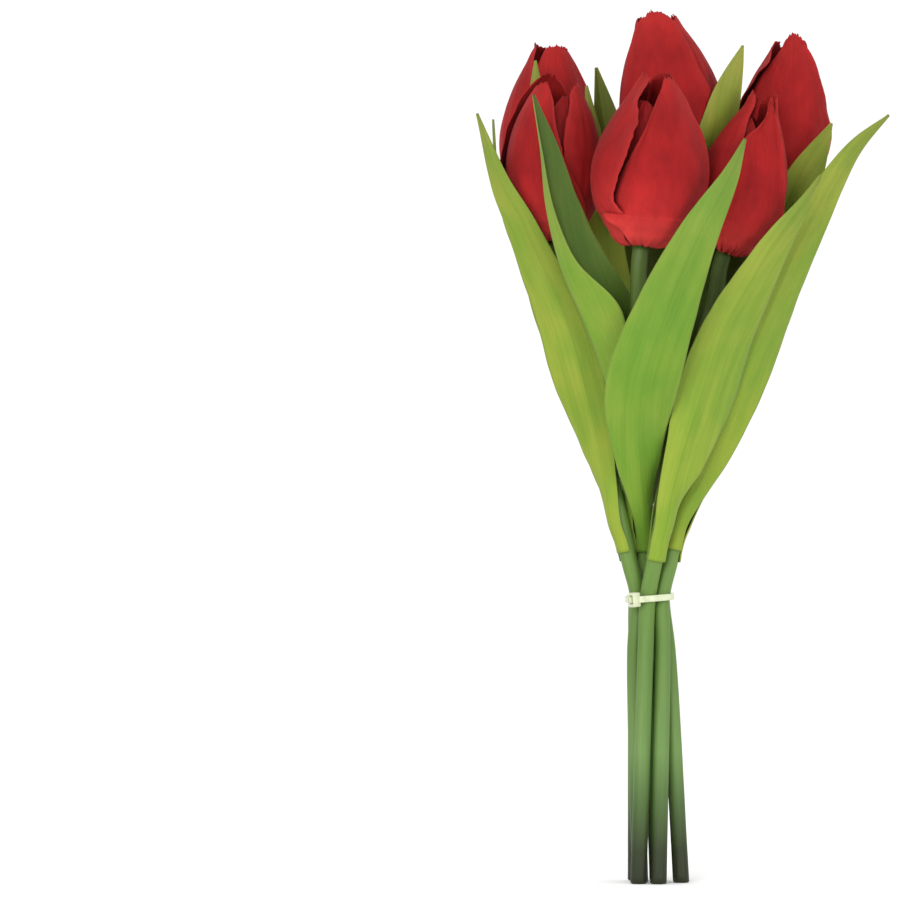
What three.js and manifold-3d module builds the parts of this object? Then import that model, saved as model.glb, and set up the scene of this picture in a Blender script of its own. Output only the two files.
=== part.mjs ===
// A tied bunch of six artificial tulips: fabric heads and leaves on wired plastic stems.
// Millimetres, +Z up, the front of the bunch looks along -Y.
// The origin is the middle of the cut stem ends, which all lie on the plane z = 0.
import * as THREE from 'three';
import { mergeVertices } from 'three/addons/utils/BufferGeometryUtils.js';
import Module from 'manifold-3d';

const wasm = await Module();
wasm.setup();

// Stems: a plastic tube over a steel wire.
const STEM_DIAMETER = 6.3;
const STEM_SIDES = 8;
const RING_HEIGHTS = [0, 50, 88, 99, 109, 117, 124, 131, 139, 150, 166, 186, 210, 232];
const WIRE_DIAMETER = 2;
const WIRE_SIDES = 5;
const WIRE_RECESS = 1.5;
const WIRE_PEG = 5;
const STEM_NECK = 7;

// Clearances: what a piece keeps to the piece that it sits on, and what stems keep at the tie.
const SEAT_GAP = 0.3;
const STEM_GAP = 0.35;

// Receptacle: the small plastic cup that carries a head on its stem. Its outline gives
// fractions of the height against fractions of the radius.
const CUP_HEIGHT = 6;
const CUP_DIAMETER = 8.6;
const SPIGOT_DIAMETER = 4;
const SPIGOT_HEIGHT = 4;
const SPIGOT_TAPER = 0.8;
const CUP_FOOT_SHARE = 0.9;
const CUP_OUTLINE = [[0.08, 1], [0.32, 1], [1, 0.8]];
const CUP_SIDES = 8;

// Petals: three outer ones, and inside them three more on one small cup.
const PETAL_THICKNESS = 0.5;
const PETAL_COUNT = 3;
const PETAL_LAP = 1.1;
const PETAL_FOOT = 1;
const PETAL_SEAT_ALLOWANCE = 1.025;
const WHORL_INSET = 4.2;
const WHORL_DROP = 0.85;
const WHORL_CUP_WALL = 1.3;
const WHORL_CUP_SHARE = 0.2;
const WHORL_ROOT = 1;
const WHORL_SPREAD = 0.6;
const WHORL_CUP_LEVELS = [0, 0.3, 1];
const WHORL_RIM_SHARE = 0.7;
const WHORL_STEP = 0.02;

// Leaves: the foot wraps the stem, and a free blade is slightly cupped across.
const LEAF_THICKNESS = 0.6;
const LEAF_ACROSS = 4;
const LEAF_ALONG = 12;
const LEAF_FOOT = 7;
const LEAF_LIFT = 1.2;
const LEAF_CUPPING = 0.012;

// Cable tie: its strap leaves the bundle's outline this many degrees after the head's
// direction and comes back to it this many before. The root is given in head widths, and the
// turn into the slot in sizes of the bend.
const TIE_HEIGHT = 109.6;
const TIE_TO_LEAVES = 14.4;
const TIE_TO_NARROW = 21.6;
const TIE_TILT = 4;
const STRAP_WIDTH = 2.5;
const STRAP_THICKNESS = 1.1;
const TIE_HEAD_WIDTH = 3.9;
const TIE_HEAD_LENGTH = 5.6;
const TIE_HEAD_DEPTH = 3.4;
const TIE_TAIL = 0.9;
const TIE_GAP = 0.5;
const TIE_HEAD_SIDE = 217;
const STRAP_STEPS = 40;
const STRAP_LEAVES = 38.4;
const STRAP_RETURNS = 24;
const STRAP_ROOT = [0.3, 0.62];
const STRAP_BEND = 0.66;
const STRAP_BEND_POINTS = [[-1.4, 0], [-0.4, 0.35], [0, 1.5]];

const COLOURS = {
  petal: { color: 0xaa2326, roughness: 0.85, metalness: 0 },
  whorl: { color: 0x8c191c, roughness: 0.9, metalness: 0 },
  leaf: { color: 0x8fa83e, roughness: 0.8, metalness: 0 },
  stem: { color: 0x5f8c50, roughness: 0.55, metalness: 0 },
  wire: { color: 0x9a9c9e, roughness: 0.4, metalness: 0.9 },
  cup: { color: 0x50743f, roughness: 0.6, metalness: 0 },
  tie: { color: 0xd7e1be, roughness: 0.35, metalness: 0 },
};

// How finely curves are sampled, normals taken, points welded and heights looked up.
const CURVE_SAMPLES = 200;
const NORMAL_STEP = 1e-3;
const WELD_DISTANCE = 1e-4;
const HALVINGS = 30;

const stemRadius = STEM_DIAMETER / 2;
const wireRadius = WIRE_DIAMETER / 2;
const boreRadius = (wireRadius + SEAT_GAP) / Math.cos(Math.PI / WIRE_SIDES);
const cupRadius = CUP_DIAMETER / 2;
const spigotRadius = SPIGOT_DIAMETER / 2;
const stemPitch = STEM_DIAMETER + STEM_GAP;
const collarHeight = TIE_HEIGHT + TIE_TO_LEAVES;

// Where the six stems lie in the bundle, counted in stem pitches from its middle:
// at the cut ends, below the tie, in the tie and at the foot of the leaves.
const BUNDLE_MIDDLE = { foot: [-3, 0.5], tie: [-3.1, 0] };

// One entry per tulip. Stem places in the bundle are in pitches, all others in millimetres.
// A head has the height and greatest radius of its bud; lean is where its tip stands
// over its foot; turn is the azimuth in degrees that its first outer petal faces;
// open tells how far its petals stand apart at the top, from 0 to 1. over tells for each
// petal whether its later edge lies over the next petal (1) or under it (-1), cover scales
// the angle that an edge on top reaches from the middle of its petal, and tops are the
// heights of the petals as fractions of the bud's.
// A leaf leaves its stem towards side, follows its route and ends at the last point;
// faces is the azimuth of its inner side at the middle, further up and at the tip, and
// fold the angle in degrees that each half is folded up along the rib, low, at the middle
// and at the tip; a blunt leaf is widest further up; skew widens one side of the rib and
// narrows the other.
const TULIPS = [
  {
    name: 'front_centre',
    bundle: { foot: [-0.9, 1.5], below: [-0.88, 0.84], tie: [-0.84, 0.74], collar: [-0.5, 0.64] },
    stem: [[-8.5, -3, 150], [-10.5, -14, 185], [-9.5, -25, 220]],
    head: { at: [-8.3, -30, 244], lean: [6.5, -1], height: 67, radius: 22.2,
      turn: -62, open: 0, over: [1, 1, -1], cover: 1, tops: [0.965, 1, 0.985] },
    leaves: [
      {
        name: 'left', side: 172, wrap: 55, width: 33, faces: [7, -24, -45], fold: [22, 64, 40], skew: 0.4,
        route: [[-14.5, -7, 158], [-22, -21, 194], [-31, -26, 217], [-39, -28.5, 236],
          [-44.5, -29.5, 259], [-46.5, -30, 280], [-49.3, -31, 301]],
      },
      {
        name: 'front', side: -70, wrap: 58, width: 29, faces: [92, 96, 100], fold: [12, 14, 16],
        route: [[-8.2, -18.5, 160], [-8, -36, 190], [1.3, -45, 220], [12.7, -51, 247], [25, -50, 270],
          [30.4, -46, 283.5]],
      },
    ],
  },
  {
    name: 'front_left',
    bundle: { foot: [-0.7, 0.15], below: [-0.98, -0.25], tie: [-0.82, -0.3], collar: [-1.34, -0.46] },
    stem: [[-20, -4.5, 160], [-31, -5, 200], [-39, -4.5, 230]],
    head: { at: [-42, -4, 247], lean: [2, 0], height: 65, radius: 19.6,
      turn: -118, open: 0.6, over: [1, 1, 1], cover: 1, tops: [0.97, 0.985, 1] },
    leaves: [
      {
        name: 'left', side: 222, wrap: 60, width: 22, faces: [72, 65, 58], fold: [10, 13, 16], skew: 0.25,
        route: [[-21.5, -9.5, 157], [-30, -13.5, 194], [-36.5, -15, 216], [-46, -17, 237],
          [-54.3, -19.5, 255], [-61, -18.5, 268], [-70.5, -14, 295]],
      },
      {
        name: 'back', side: 108, wrap: 44, width: 16, faces: [-30, -8, 15], fold: [12, 13, 14],
        route: [[-23, 3, 160], [-37, 4, 200], [-50, 2, 230], [-59.5, -2, 252], [-63.3, -7, 270],
          [-64.3, -9.5, 293]],
      },
    ],
  },
  {
    name: 'back_left',
    bundle: { foot: [0.36, 1.28], below: [-0.05, 1.4], tie: [-0.12, 1.43], collar: [-0.72, 2.06] },
    stem: [[-17, 22, 160], [-29, 32, 200], [-39, 38.5, 235]],
    head: { at: [-44, 41, 261], lean: [2.5, 1], height: 65, radius: 19,
      turn: -60, open: 0.35, over: [1, 1, -1], cover: 1, tops: [0.985, 0.96, 1] },
    leaves: [
      {
        name: 'inner', side: -22, wrap: 52, width: 23, faces: [95, 95, 95], fold: [8, 10, 12], skew: 0.25,
        route: [[-10, 14, 155], [-14, 13, 200], [-19, 16, 240], [-23, 21, 280], [-27.7, 23, 308]],
      },
      {
        name: 'outer', side: -130, wrap: 50, width: 22, faces: [85, 88, 90], fold: [4, 5, 6], blunt: 1.5,
        route: [[-23, 17, 160], [-34, 19.5, 200], [-42, 18.7, 240], [-46, 18.6, 275],
          [-47.7, 18.5, 317.5]],
      },
    ],
  },
  {
    name: 'back_centre',
    bundle: { foot: [1.67, -0.22], below: [0.93, 0.33], tie: [0.57, 0.46], collar: [0.74, 0.96] },
    stem: [[4.5, 9, 160], [8.5, 11.5, 200], [10.5, 13, 240]],
    head: { at: [9.5, 13, 270], lean: [-11.5, 0], height: 68, radius: 21.3,
      turn: -98, open: 0.35, over: [1, 1, -1], cover: 0.87, tops: [1, 0.965, 0.95] },
    leaves: [
      {
        name: 'right', side: -70, wrap: 50, width: 26, faces: [100, 138, 106], fold: [8, 5, 4],
        skew: 0.22, blunt: 2,
        route: [[5.5, 3.5, 152], [9, 4.5, 185], [13, 5, 215], [16, 5.5, 240], [17.3, 4.6, 264],
          [23.3, 0.2, 285], [26.6, -1.5, 300], [32, 0, 322]],
      },
      {
        name: 'left', side: 115, wrap: 55, width: 29, faces: [-80, -80, -80], fold: [10, 12, 14],
        skew: 0.25, blunt: 1.3,
        route: [[0.5, 20, 160], [-3, 27, 200], [-8, 28, 235], [-18, 30, 275], [-24, 30, 315.5]],
      },
    ],
  },
  {
    name: 'front_right',
    bundle: { foot: [-0.83, -1.14], below: [-0.42, -1.24], tie: [-0.27, -1.16], collar: [0.11, -1.37] },
    stem: [[4.6, -12, 160], [13.8, -13, 200], [21, -10.5, 226]],
    head: { at: [24.2, -9.2, 242.3], lean: [16.6, 0], height: 64, radius: 18.6,
      turn: -67, open: 0, over: [1, 1, -1], cover: 0.68, tops: [0.965, 1, 0.985] },
    leaves: [
      {
        name: 'right', side: -70, wrap: 62, width: 28, faces: [115, 116, 118], fold: [12, 13, 14],
        skew: -0.3,
        route: [[4, -19, 150], [14, -23, 185], [24, -26, 213], [35, -28, 233], [43, -28, 246],
          [54, -28, 261], [60, -27, 271]],
      },
      {
        name: 'back', side: 95, wrap: 48, width: 30, faces: [-85, -85, -85], fold: [6, 6, 8],
        skew: 0.18, blunt: 2.8,
        route: [[4.2, -4, 160], [7, -3.5, 190], [12.5, -3.5, 216], [20.5, 0, 234],
          [29.5, 7.5, 249.5]],
      },
    ],
  },
  {
    name: 'back_right',
    bundle: { foot: [0.32, -1.28], below: [0.58, -0.69], tie: [0.55, -0.58], collar: [1.05, -0.38] },
    stem: [[12, 2, 160], [25, 10, 200], [37, 18, 235]],
    head: { at: [45, 24, 263], lean: [7.5, 0], height: 66, radius: 18.5,
      turn: -85, open: 0.1, over: [1, 1, -1], cover: 1.12, tops: [1, 0.975, 0.95] },
    leaves: [
      {
        name: 'right', side: -82, wrap: 44, width: 25, faces: [118, 114, 110], fold: [10, 14, 18],
        skew: -0.1,
        route: [[17, -6, 158], [33.5, -10, 200], [48, -11.5, 235], [58, -11, 255], [68, -10, 273],
          [76, -7, 284], [87.8, -4, 295]],
      },
      {
        name: 'front', side: 24, wrap: 42, width: 25, faces: [-95, -92, -88], fold: [6, 8, 8],
        skew: 0.3, blunt: 2,
        route: [[19, 2.6, 160], [23.5, 2.2, 177], [27.5, 2.6, 195], [35, 6, 225],
          [43.5, 6.5, 248], [54, 3, 272], [66, -1.5, 292]],
      },
    ],
  },
];

// Bud profile: fraction of the height against fraction of the greatest radius,
// first the part that all heads share, then the top of a closed and of an open head.
const BUD_FOOT = [[0, 0.2], [0.015, 0.3], [0.035, 0.5], [0.075, 0.66], [0.12, 0.77], [0.21, 0.9],
  [0.33, 0.99], [0.45, 1]];
const BUD_CLOSED_TOP = [[0.57, 0.91], [0.67, 0.78], [0.76, 0.64], [0.89, 0.41], [0.96, 0.27], [1, 0.15]];
const BUD_OPEN_TOP = [[0.57, 0.96], [0.67, 0.9], [0.76, 0.81], [0.89, 0.6], [0.96, 0.44], [1, 0.33]];

// Edges of an outer petal, on top of its neighbour or under it: fraction of the height
// against the angle in degrees from the middle of the petal.
const PETAL_EDGE_OVER = [[0, 46], [0.05, 68], [0.14, 88], [0.27, 82], [0.4, 66], [0.6, 55], [0.76, 54],
  [0.88, 52], [0.95, 47], [1, 34]];
const PETAL_EDGE_UNDER = [[0, 40], [0.06, 50], [0.12, 62], [0.24, 76], [0.5, 80], [0.7, 78], [0.82, 70],
  [0.9, 63], [0.96, 57], [1, 46]];
const PETAL_ACROSS = 6;
const PETAL_ALONG = 7;
const PETAL_ROW_BIAS = 1.5;
const PETAL_LAP_START = 0.05;
const PETAL_TIP_DROP = 3.2;
const PETAL_TIP_START = 0.6;
const LAP_FADE = [0.86, 0.97];
const WHORL_OUTLINE = [[0, 50], [0.3, 56], [0.6, 54], [0.8, 44], [0.93, 28], [1, 10]];
const WHORL_ACROSS = 3;
const WHORL_ALONG = 4;
const WHORL_SIDES = 9;
const WHORL_TOLERANCE = 0.05;

// Stretches of a leaf's length, as fractions: where the foot widens to the blade, where its
// wrap round the stem flattens out, and where the fold along the rib sets in.
const LEAF_WIDENS = [0, 0.16];
const LEAF_FLATTENS = [0.04, 0.24];
const LEAF_FOLDS = [0.03, 0.3];
const LEAF_FACE_START = 0.07;
const LEAF_FACE_STATIONS = [0.42, 0.72, 1];
const LEAF_FOLD_STATIONS = [0.3, 0.52, 1];

// Outline of a leaf: fraction of its length against fraction of its greatest half width.
const LEAF_OUTLINE = [[0, 0.3], [0.15, 0.42], [0.26, 0.68], [0.42, 1], [0.6, 0.84], [0.78, 0.54],
  [0.9, 0.28], [1, 0.03]];

// A smooth curve through the given points, read off by the fraction along it.
function fractionCurve(points) {
  const curve = new THREE.SplineCurve(points.map(([at, value]) => new THREE.Vector2(at, value)));
  const samples = curve.getPoints(CURVE_SAMPLES);
  return (at) => {
    const next = samples.findIndex((point) => point.x >= at);
    if (next <= 0) return next === 0 ? samples[0].y : samples[samples.length - 1].y;
    const before = samples[next - 1];
    const share = (at - before.x) / (samples[next].x - before.x);
    return THREE.MathUtils.lerp(before.y, samples[next].y, share);
  };
}

function geometryFrom(positions, triangles) {
  const geometry = new THREE.BufferGeometry();
  geometry.setAttribute('position', new THREE.Float32BufferAttribute(positions, 3));
  geometry.setIndex(triangles);
  geometry.computeVertexNormals();
  return geometry;
}

// A closed thin sheet. place(u, v) gives a point of its middle surface, u across, v along.
// The outer side is the one from which u, v and the normal make a right-handed set.
function sheet(place, across, along, thickness) {
  const step = NORMAL_STEP;
  const positions = [];
  const triangles = [];
  const columns = across + 1;
  const layer = columns * (along + 1);
  for (const side of [0.5, -0.5]) {
    for (let row = 0; row <= along; row += 1) {
      for (let column = 0; column <= across; column += 1) {
        const u = (column / across) * 2 - 1;
        const v = row / along;
        const middle = place(u, v);
        const du = place(Math.min(u + step, 1), v).sub(place(Math.max(u - step, -1), v));
        const dv = place(u, Math.min(v + step, 1)).sub(place(u, Math.max(v - step, 0)));
        const normal = du.cross(dv).normalize();
        middle.addScaledVector(normal, thickness * side);
        positions.push(middle.x, middle.y, middle.z);
      }
    }
  }
  const quad = (a, b, c, d) => triangles.push(a, b, c, a, c, d);
  for (let row = 0; row < along; row += 1) {
    for (let column = 0; column < across; column += 1) {
      const a = row * columns + column;
      quad(a, a + 1, a + columns + 1, a + columns);
      quad(layer + a, layer + a + columns, layer + a + columns + 1, layer + a + 1);
    }
  }
  for (let column = 0; column < across; column += 1) {
    const top = along * columns + column;
    quad(column + 1, column, layer + column, layer + column + 1);
    quad(top, top + 1, layer + top + 1, layer + top);
  }
  for (let row = 0; row < along; row += 1) {
    const left = row * columns;
    const right = left + across;
    quad(left, left + columns, layer + left + columns, layer + left);
    quad(right + columns, right, layer + right, layer + right + columns);
  }
  return geometryFrom(positions, triangles);
}

// Rings of points on the given frames, joined into a closed tube; a bore ends in two rims.
function sweptTube(frames, sides, radius, bore) {
  const positions = [];
  const triangles = [];
  const up = new THREE.Vector3(0, 0, 1);
  const addRing = ({ middle, tangent }, size) => {
    const turn = new THREE.Quaternion().setFromUnitVectors(up, tangent);
    for (let side = 0; side < sides; side += 1) {
      const angle = (side / sides) * Math.PI * 2;
      const point = new THREE.Vector3(Math.cos(angle) * size, Math.sin(angle) * size, 0);
      point.applyQuaternion(turn).add(middle);
      positions.push(point.x, point.y, point.z);
    }
  };
  const addWall = (from, outward) => {
    for (let ring = 0; ring < frames.length - 1; ring += 1) {
      for (let side = 0; side < sides; side += 1) {
        const a = from + ring * sides + side;
        const b = from + ring * sides + ((side + 1) % sides);
        const face = outward ? [a, b, b + sides, a, b + sides, a + sides]
          : [a, b + sides, b, a, a + sides, b + sides];
        triangles.push(...face);
      }
    }
  };
  frames.forEach((frame) => addRing(frame, radius));
  addWall(0, true);
  const last = (frames.length - 1) * sides;
  if (bore) {
    const inner = frames.length * sides;
    frames.forEach((frame) => addRing(frame, bore));
    addWall(inner, false);
    for (let side = 0; side < sides; side += 1) {
      const next = (side + 1) % sides;
      triangles.push(side, inner + side, inner + next, side, inner + next, next);
      triangles.push(last + side, last + next, inner + last + next);
      triangles.push(last + side, inner + last + next, inner + last + side);
    }
  } else {
    for (let side = 1; side < sides - 1; side += 1) {
      triangles.push(0, side + 1, side);
      triangles.push(last, last + side, last + side + 1);
    }
  }
  return geometryFrom(positions, triangles);
}

function toManifold(geometry) {
  const bare = geometry.clone();
  bare.deleteAttribute('normal');
  bare.deleteAttribute('uv');
  const merged = mergeVertices(bare, WELD_DISTANCE);
  return new wasm.Manifold(new wasm.Mesh({
    numProp: 3,
    vertProperties: new Float32Array(merged.attributes.position.array),
    triVerts: new Uint32Array(merged.index.array),
  }));
}

function fromManifold(solid) {
  const mesh = solid.getMesh();
  return geometryFrom(mesh.vertProperties, Array.from(mesh.triVerts));
}

function bundlePoint(tulip, level, middle, height) {
  const [across, deep] = tulip.bundle[level];
  return new THREE.Vector3(middle[0] + across * stemPitch, middle[1] + deep * stemPitch, height);
}

function budAxis(head) {
  return new THREE.Vector3(head.lean[0], head.lean[1], head.height).normalize();
}

// The middle line of a stem, from its cut end to the foot of its head.
function stemCurve(tulip) {
  const { foot, tie } = BUNDLE_MIDDLE;
  const points = [
    bundlePoint(tulip, 'foot', foot, 0),
    bundlePoint(tulip, 'below', tie, TIE_HEIGHT - TIE_TO_NARROW),
    bundlePoint(tulip, 'tie', tie, TIE_HEIGHT),
    bundlePoint(tulip, 'collar', tie, collarHeight),
    ...tulip.stem.map((point) => new THREE.Vector3(...point)),
    new THREE.Vector3(...tulip.head.at).addScaledVector(budAxis(tulip.head), -STEM_NECK),
    new THREE.Vector3(...tulip.head.at),
  ];
  return new THREE.CatmullRomCurve3(points, false, 'centripetal');
}

// Frames along a stem: square to its line, but flat at the cut end.
function stemFrames(stem) {
  const frames = RING_HEIGHTS.map((height) => {
    const share = shareAtHeight(stem, height);
    const tangent = height > 0 ? stem.getTangentAt(share) : new THREE.Vector3(0, 0, 1);
    return { middle: stem.getPointAt(share), tangent };
  });
  frames.push({ middle: stem.getPointAt(1), tangent: stem.getTangentAt(1) });
  return frames;
}

// The wire follows the bore: it stops short of the cut end and stands out at the head.
function wireFrames(stem) {
  const frames = stemFrames(stem);
  const share = WIRE_RECESS / stem.getLength();
  frames[0] = { middle: stem.getPointAt(share), tangent: new THREE.Vector3(0, 0, 1) };
  const end = frames[frames.length - 1];
  const peg = end.middle.clone().addScaledVector(end.tangent, WIRE_PEG);
  frames.push({ middle: peg, tangent: end.tangent });
  return frames;
}

// The receptacle stands on the stem end: a flared cup, a shoulder and a spigot on top,
// with a blind bore from below for the end of the wire.
function receptacle() {
  const foot = SEAT_GAP;
  const points = [
    [boreRadius, foot],
    [stemRadius * CUP_FOOT_SHARE, foot],
    ...CUP_OUTLINE.map(([at, wide]) => [cupRadius * wide, foot + CUP_HEIGHT * at]),
    [spigotRadius, foot + CUP_HEIGHT],
    [spigotRadius * SPIGOT_TAPER, foot + CUP_HEIGHT + SPIGOT_HEIGHT],
    [0, foot + CUP_HEIGHT + SPIGOT_HEIGHT],
    [0, WIRE_PEG + SEAT_GAP],
    [boreRadius, WIRE_PEG + SEAT_GAP],
    [boreRadius, foot],
  ];
  const outline = points.map(([radius, height]) => new THREE.Vector2(radius, height));
  const turned = new THREE.LatheGeometry(outline, CUP_SIDES);
  turned.rotateX(Math.PI / 2);
  return fromManifold(toManifold(turned));
}

function budRadius(head) {
  const top = BUD_CLOSED_TOP.map(([at, closed], index) => {
    return [at, THREE.MathUtils.lerp(closed, BUD_OPEN_TOP[index][1], head.open)];
  });
  const profile = fractionCurve([...BUD_FOOT, ...top]);
  return (height) => head.radius * profile(THREE.MathUtils.clamp(height / head.height, 0, 1));
}

// One outer petal: where two petals meet, one edge lies on top and the other is tucked
// under it by twice the lap, which fades out where the petals draw apart to their tips.
function outerPetal(head, index) {
  const radiusAt = budRadius(head);
  const over = fractionCurve(PETAL_EDGE_OVER);
  const under = fractionCurve(PETAL_EDGE_UNDER);
  const seat = (cupRadius + SEAT_GAP) * PETAL_SEAT_ALLOWANCE + PETAL_THICKNESS / 2;
  const middle = (index / PETAL_COUNT) * 360;
  const laterOnTop = head.over[index] > 0;
  const earlierOnTop = head.over[(index + PETAL_COUNT - 1) % PETAL_COUNT] < 0;
  const top = head.height * head.tops[index];
  const place = (u, v) => {
    const share = Math.pow(v, PETAL_ROW_BIAS);
    const drop = PETAL_TIP_DROP * u * u * THREE.MathUtils.smoothstep(v, PETAL_TIP_START, 1);
    const height = THREE.MathUtils.lerp(PETAL_FOOT, top, share) - drop;
    const onTop = u > 0 ? laterOnTop : earlierOnTop;
    const reach = onTop ? over(share) * head.cover : under(share);
    const angle = THREE.MathUtils.degToRad(middle + u * reach);
    const fade = 1 - THREE.MathUtils.smoothstep(height / head.height, ...LAP_FADE);
    const tuck = [earlierOnTop ? 0 : 1, laterOnTop ? 0 : 1];
    const depth = THREE.MathUtils.lerp(tuck[0], tuck[1], (u + 1) / 2) * PETAL_LAP * 2;
    const rise = THREE.MathUtils.smoothstep(share, 0, PETAL_LAP_START);
    const belly = Math.max(radiusAt(height) - depth * fade, seat + PETAL_LAP * 2 - depth);
    const radius = THREE.MathUtils.lerp(seat, belly, rise);
    return new THREE.Vector3(Math.cos(angle) * radius, Math.sin(angle) * radius, height);
  };
  return sheet(place, PETAL_ACROSS, PETAL_ALONG, PETAL_THICKNESS);
}

// Radius of the inner whorl's middle surface: it opens from the spigot into the bud.
function whorlRadius(head) {
  const radiusAt = budRadius(head);
  const foot = CUP_HEIGHT + SEAT_GAP;
  const hole = (spigotRadius + SEAT_GAP) / Math.cos(Math.PI / WHORL_SIDES);
  const start = hole + WHORL_CUP_WALL / 2;
  return (height) => {
    const spread = THREE.MathUtils.smoothstep(height, foot, foot + head.height * WHORL_CUP_SHARE);
    return THREE.MathUtils.lerp(start, radiusAt(height) - WHORL_INSET, Math.pow(spread, WHORL_SPREAD));
  };
}

// The inner whorl: three petals that grow out of one small cup round the spigot.
function innerWhorl(head) {
  const radiusAt = whorlRadius(head);
  const foot = CUP_HEIGHT + SEAT_GAP * 2;
  const rim = foot + head.height * WHORL_CUP_SHARE * WHORL_RIM_SHARE;
  const wall = WHORL_CUP_WALL / 2;
  const levels = WHORL_CUP_LEVELS.map((share) => THREE.MathUtils.lerp(foot, rim, share));
  const outside = levels.map((height) => new THREE.Vector2(radiusAt(height) + wall, height));
  const inside = levels.map((height) => new THREE.Vector2(radiusAt(height) - wall, height));
  const outline = [...outside, ...inside.reverse(), outside[0].clone()];
  const cup = new THREE.LatheGeometry(outline, WHORL_SIDES);
  cup.rotateX(Math.PI / 2);
  const edges = fractionCurve(WHORL_OUTLINE);
  let whorl = toManifold(cup);
  for (let index = 0; index < PETAL_COUNT; index += 1) {
    const middle = ((index + 0.5) / PETAL_COUNT) * 360;
    const top = head.height * WHORL_DROP * (1 - WHORL_STEP * index);
    const place = (u, v) => {
      const height = THREE.MathUtils.lerp(rim - WHORL_ROOT, top, v);
      const angle = THREE.MathUtils.degToRad(middle + u * edges(v));
      const radius = radiusAt(height);
      return new THREE.Vector3(Math.cos(angle) * radius, Math.sin(angle) * radius, height);
    };
    whorl = whorl.add(toManifold(sheet(place, WHORL_ACROSS, WHORL_ALONG, PETAL_THICKNESS)));
  }
  return fromManifold(whorl.simplify(WHORL_TOLERANCE));
}

// A leaf: its foot wraps the stem, then the blade opens out, folds along its rib and
// follows its route to a pointed tip.
function leafBlade(leaf, stem) {
  const wrapStep = THREE.MathUtils.degToRad((2 * leaf.wrap) / LEAF_ACROSS);
  const seat = (stemRadius + SEAT_GAP) / Math.cos(wrapStep / 2) + LEAF_THICKNESS / 2;
  const side = THREE.MathUtils.degToRad(leaf.side);
  const onStem = (height, lift) => {
    const share = shareAtHeight(stem, height);
    const tangent = stem.getTangentAt(share);
    const away = new THREE.Vector3(Math.cos(side), Math.sin(side), 0);
    away.addScaledVector(tangent, -away.dot(tangent)).setLength(seat + lift);
    return stem.getPointAt(share).add(away);
  };
  const rib = new THREE.CatmullRomCurve3([
    onStem(collarHeight, 0),
    onStem(collarHeight + LEAF_FOOT, 0),
    onStem(collarHeight + LEAF_FOOT * 2, LEAF_LIFT),
    ...leaf.route.map((point) => new THREE.Vector3(...point)),
  ], false, 'centripetal');
  const outline = fractionCurve(LEAF_OUTLINE);
  const stemward = leaf.side - 180;
  const faces = LEAF_FACE_STATIONS.map((at, index) => [at, nearest(leaf.faces[index], stemward)]);
  const faceAt = fractionCurve([[0, stemward], [LEAF_FACE_START, stemward], ...faces]);
  const folds = LEAF_FOLD_STATIONS.map((at, index) => [at, leaf.fold[index]]);
  const foldAt = fractionCurve([[0, leaf.fold[0]], ...folds]);
  const place = (u, v) => {
    const point = rib.getPointAt(v);
    const tangent = rib.getTangentAt(v);
    const face = THREE.MathUtils.degToRad(faceAt(v));
    const inner = new THREE.Vector3(Math.cos(face), Math.sin(face), 0);
    inner.addScaledVector(tangent, -inner.dot(tangent)).normalize();
    const across = tangent.clone().cross(inner);
    const open = THREE.MathUtils.smoothstep(v, ...LEAF_FOLDS);
    const skew = 1 + (leaf.skew ?? 0) * open * Math.sign(u);
    const wrapped = THREE.MathUtils.degToRad(leaf.wrap) * seat;
    const blade = (leaf.width / 2) * outline(Math.pow(v, leaf.blunt ?? 1)) * skew;
    const half = THREE.MathUtils.lerp(wrapped, blade, THREE.MathUtils.smoothstep(v, ...LEAF_WIDENS));
    const flat = THREE.MathUtils.smoothstep(v, ...LEAF_FLATTENS);
    const bend = THREE.MathUtils.lerp(1 / seat, LEAF_CUPPING, flat);
    const fold = THREE.MathUtils.degToRad(foldAt(v)) * open;
    const arc = Math.abs(u) * half * bend;
    const run = Math.sin(arc) / bend;
    const lift = (1 - Math.cos(arc)) / bend;
    const out = run * Math.cos(fold) - lift * Math.sin(fold);
    const up = run * Math.sin(fold) + lift * Math.cos(fold);
    return point.addScaledVector(across, out * Math.sign(u)).addScaledVector(inner, up);
  };
  return sheet(place, LEAF_ACROSS, LEAF_ALONG, LEAF_THICKNESS);
}

// How far along a rising curve the given height is reached, as a share of its length.
function shareAtHeight(curve, height) {
  let low = 0;
  let high = 1;
  for (let step = 0; step < HALVINGS; step += 1) {
    const middle = (low + high) / 2;
    if (curve.getPointAt(middle).z < height) low = middle;
    else high = middle;
  }
  return low;
}

// The same direction, written within half a turn of the reference.
function nearest(angle, reference) {
  return angle + Math.round((reference - angle) / 360) * 360;
}

function addMesh(parent, name, geometry, finish) {
  const mesh = new THREE.Mesh(geometry, new THREE.MeshStandardMaterial(COLOURS[finish]));
  mesh.name = name;
  parent.add(mesh);
  return mesh;
}

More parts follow.
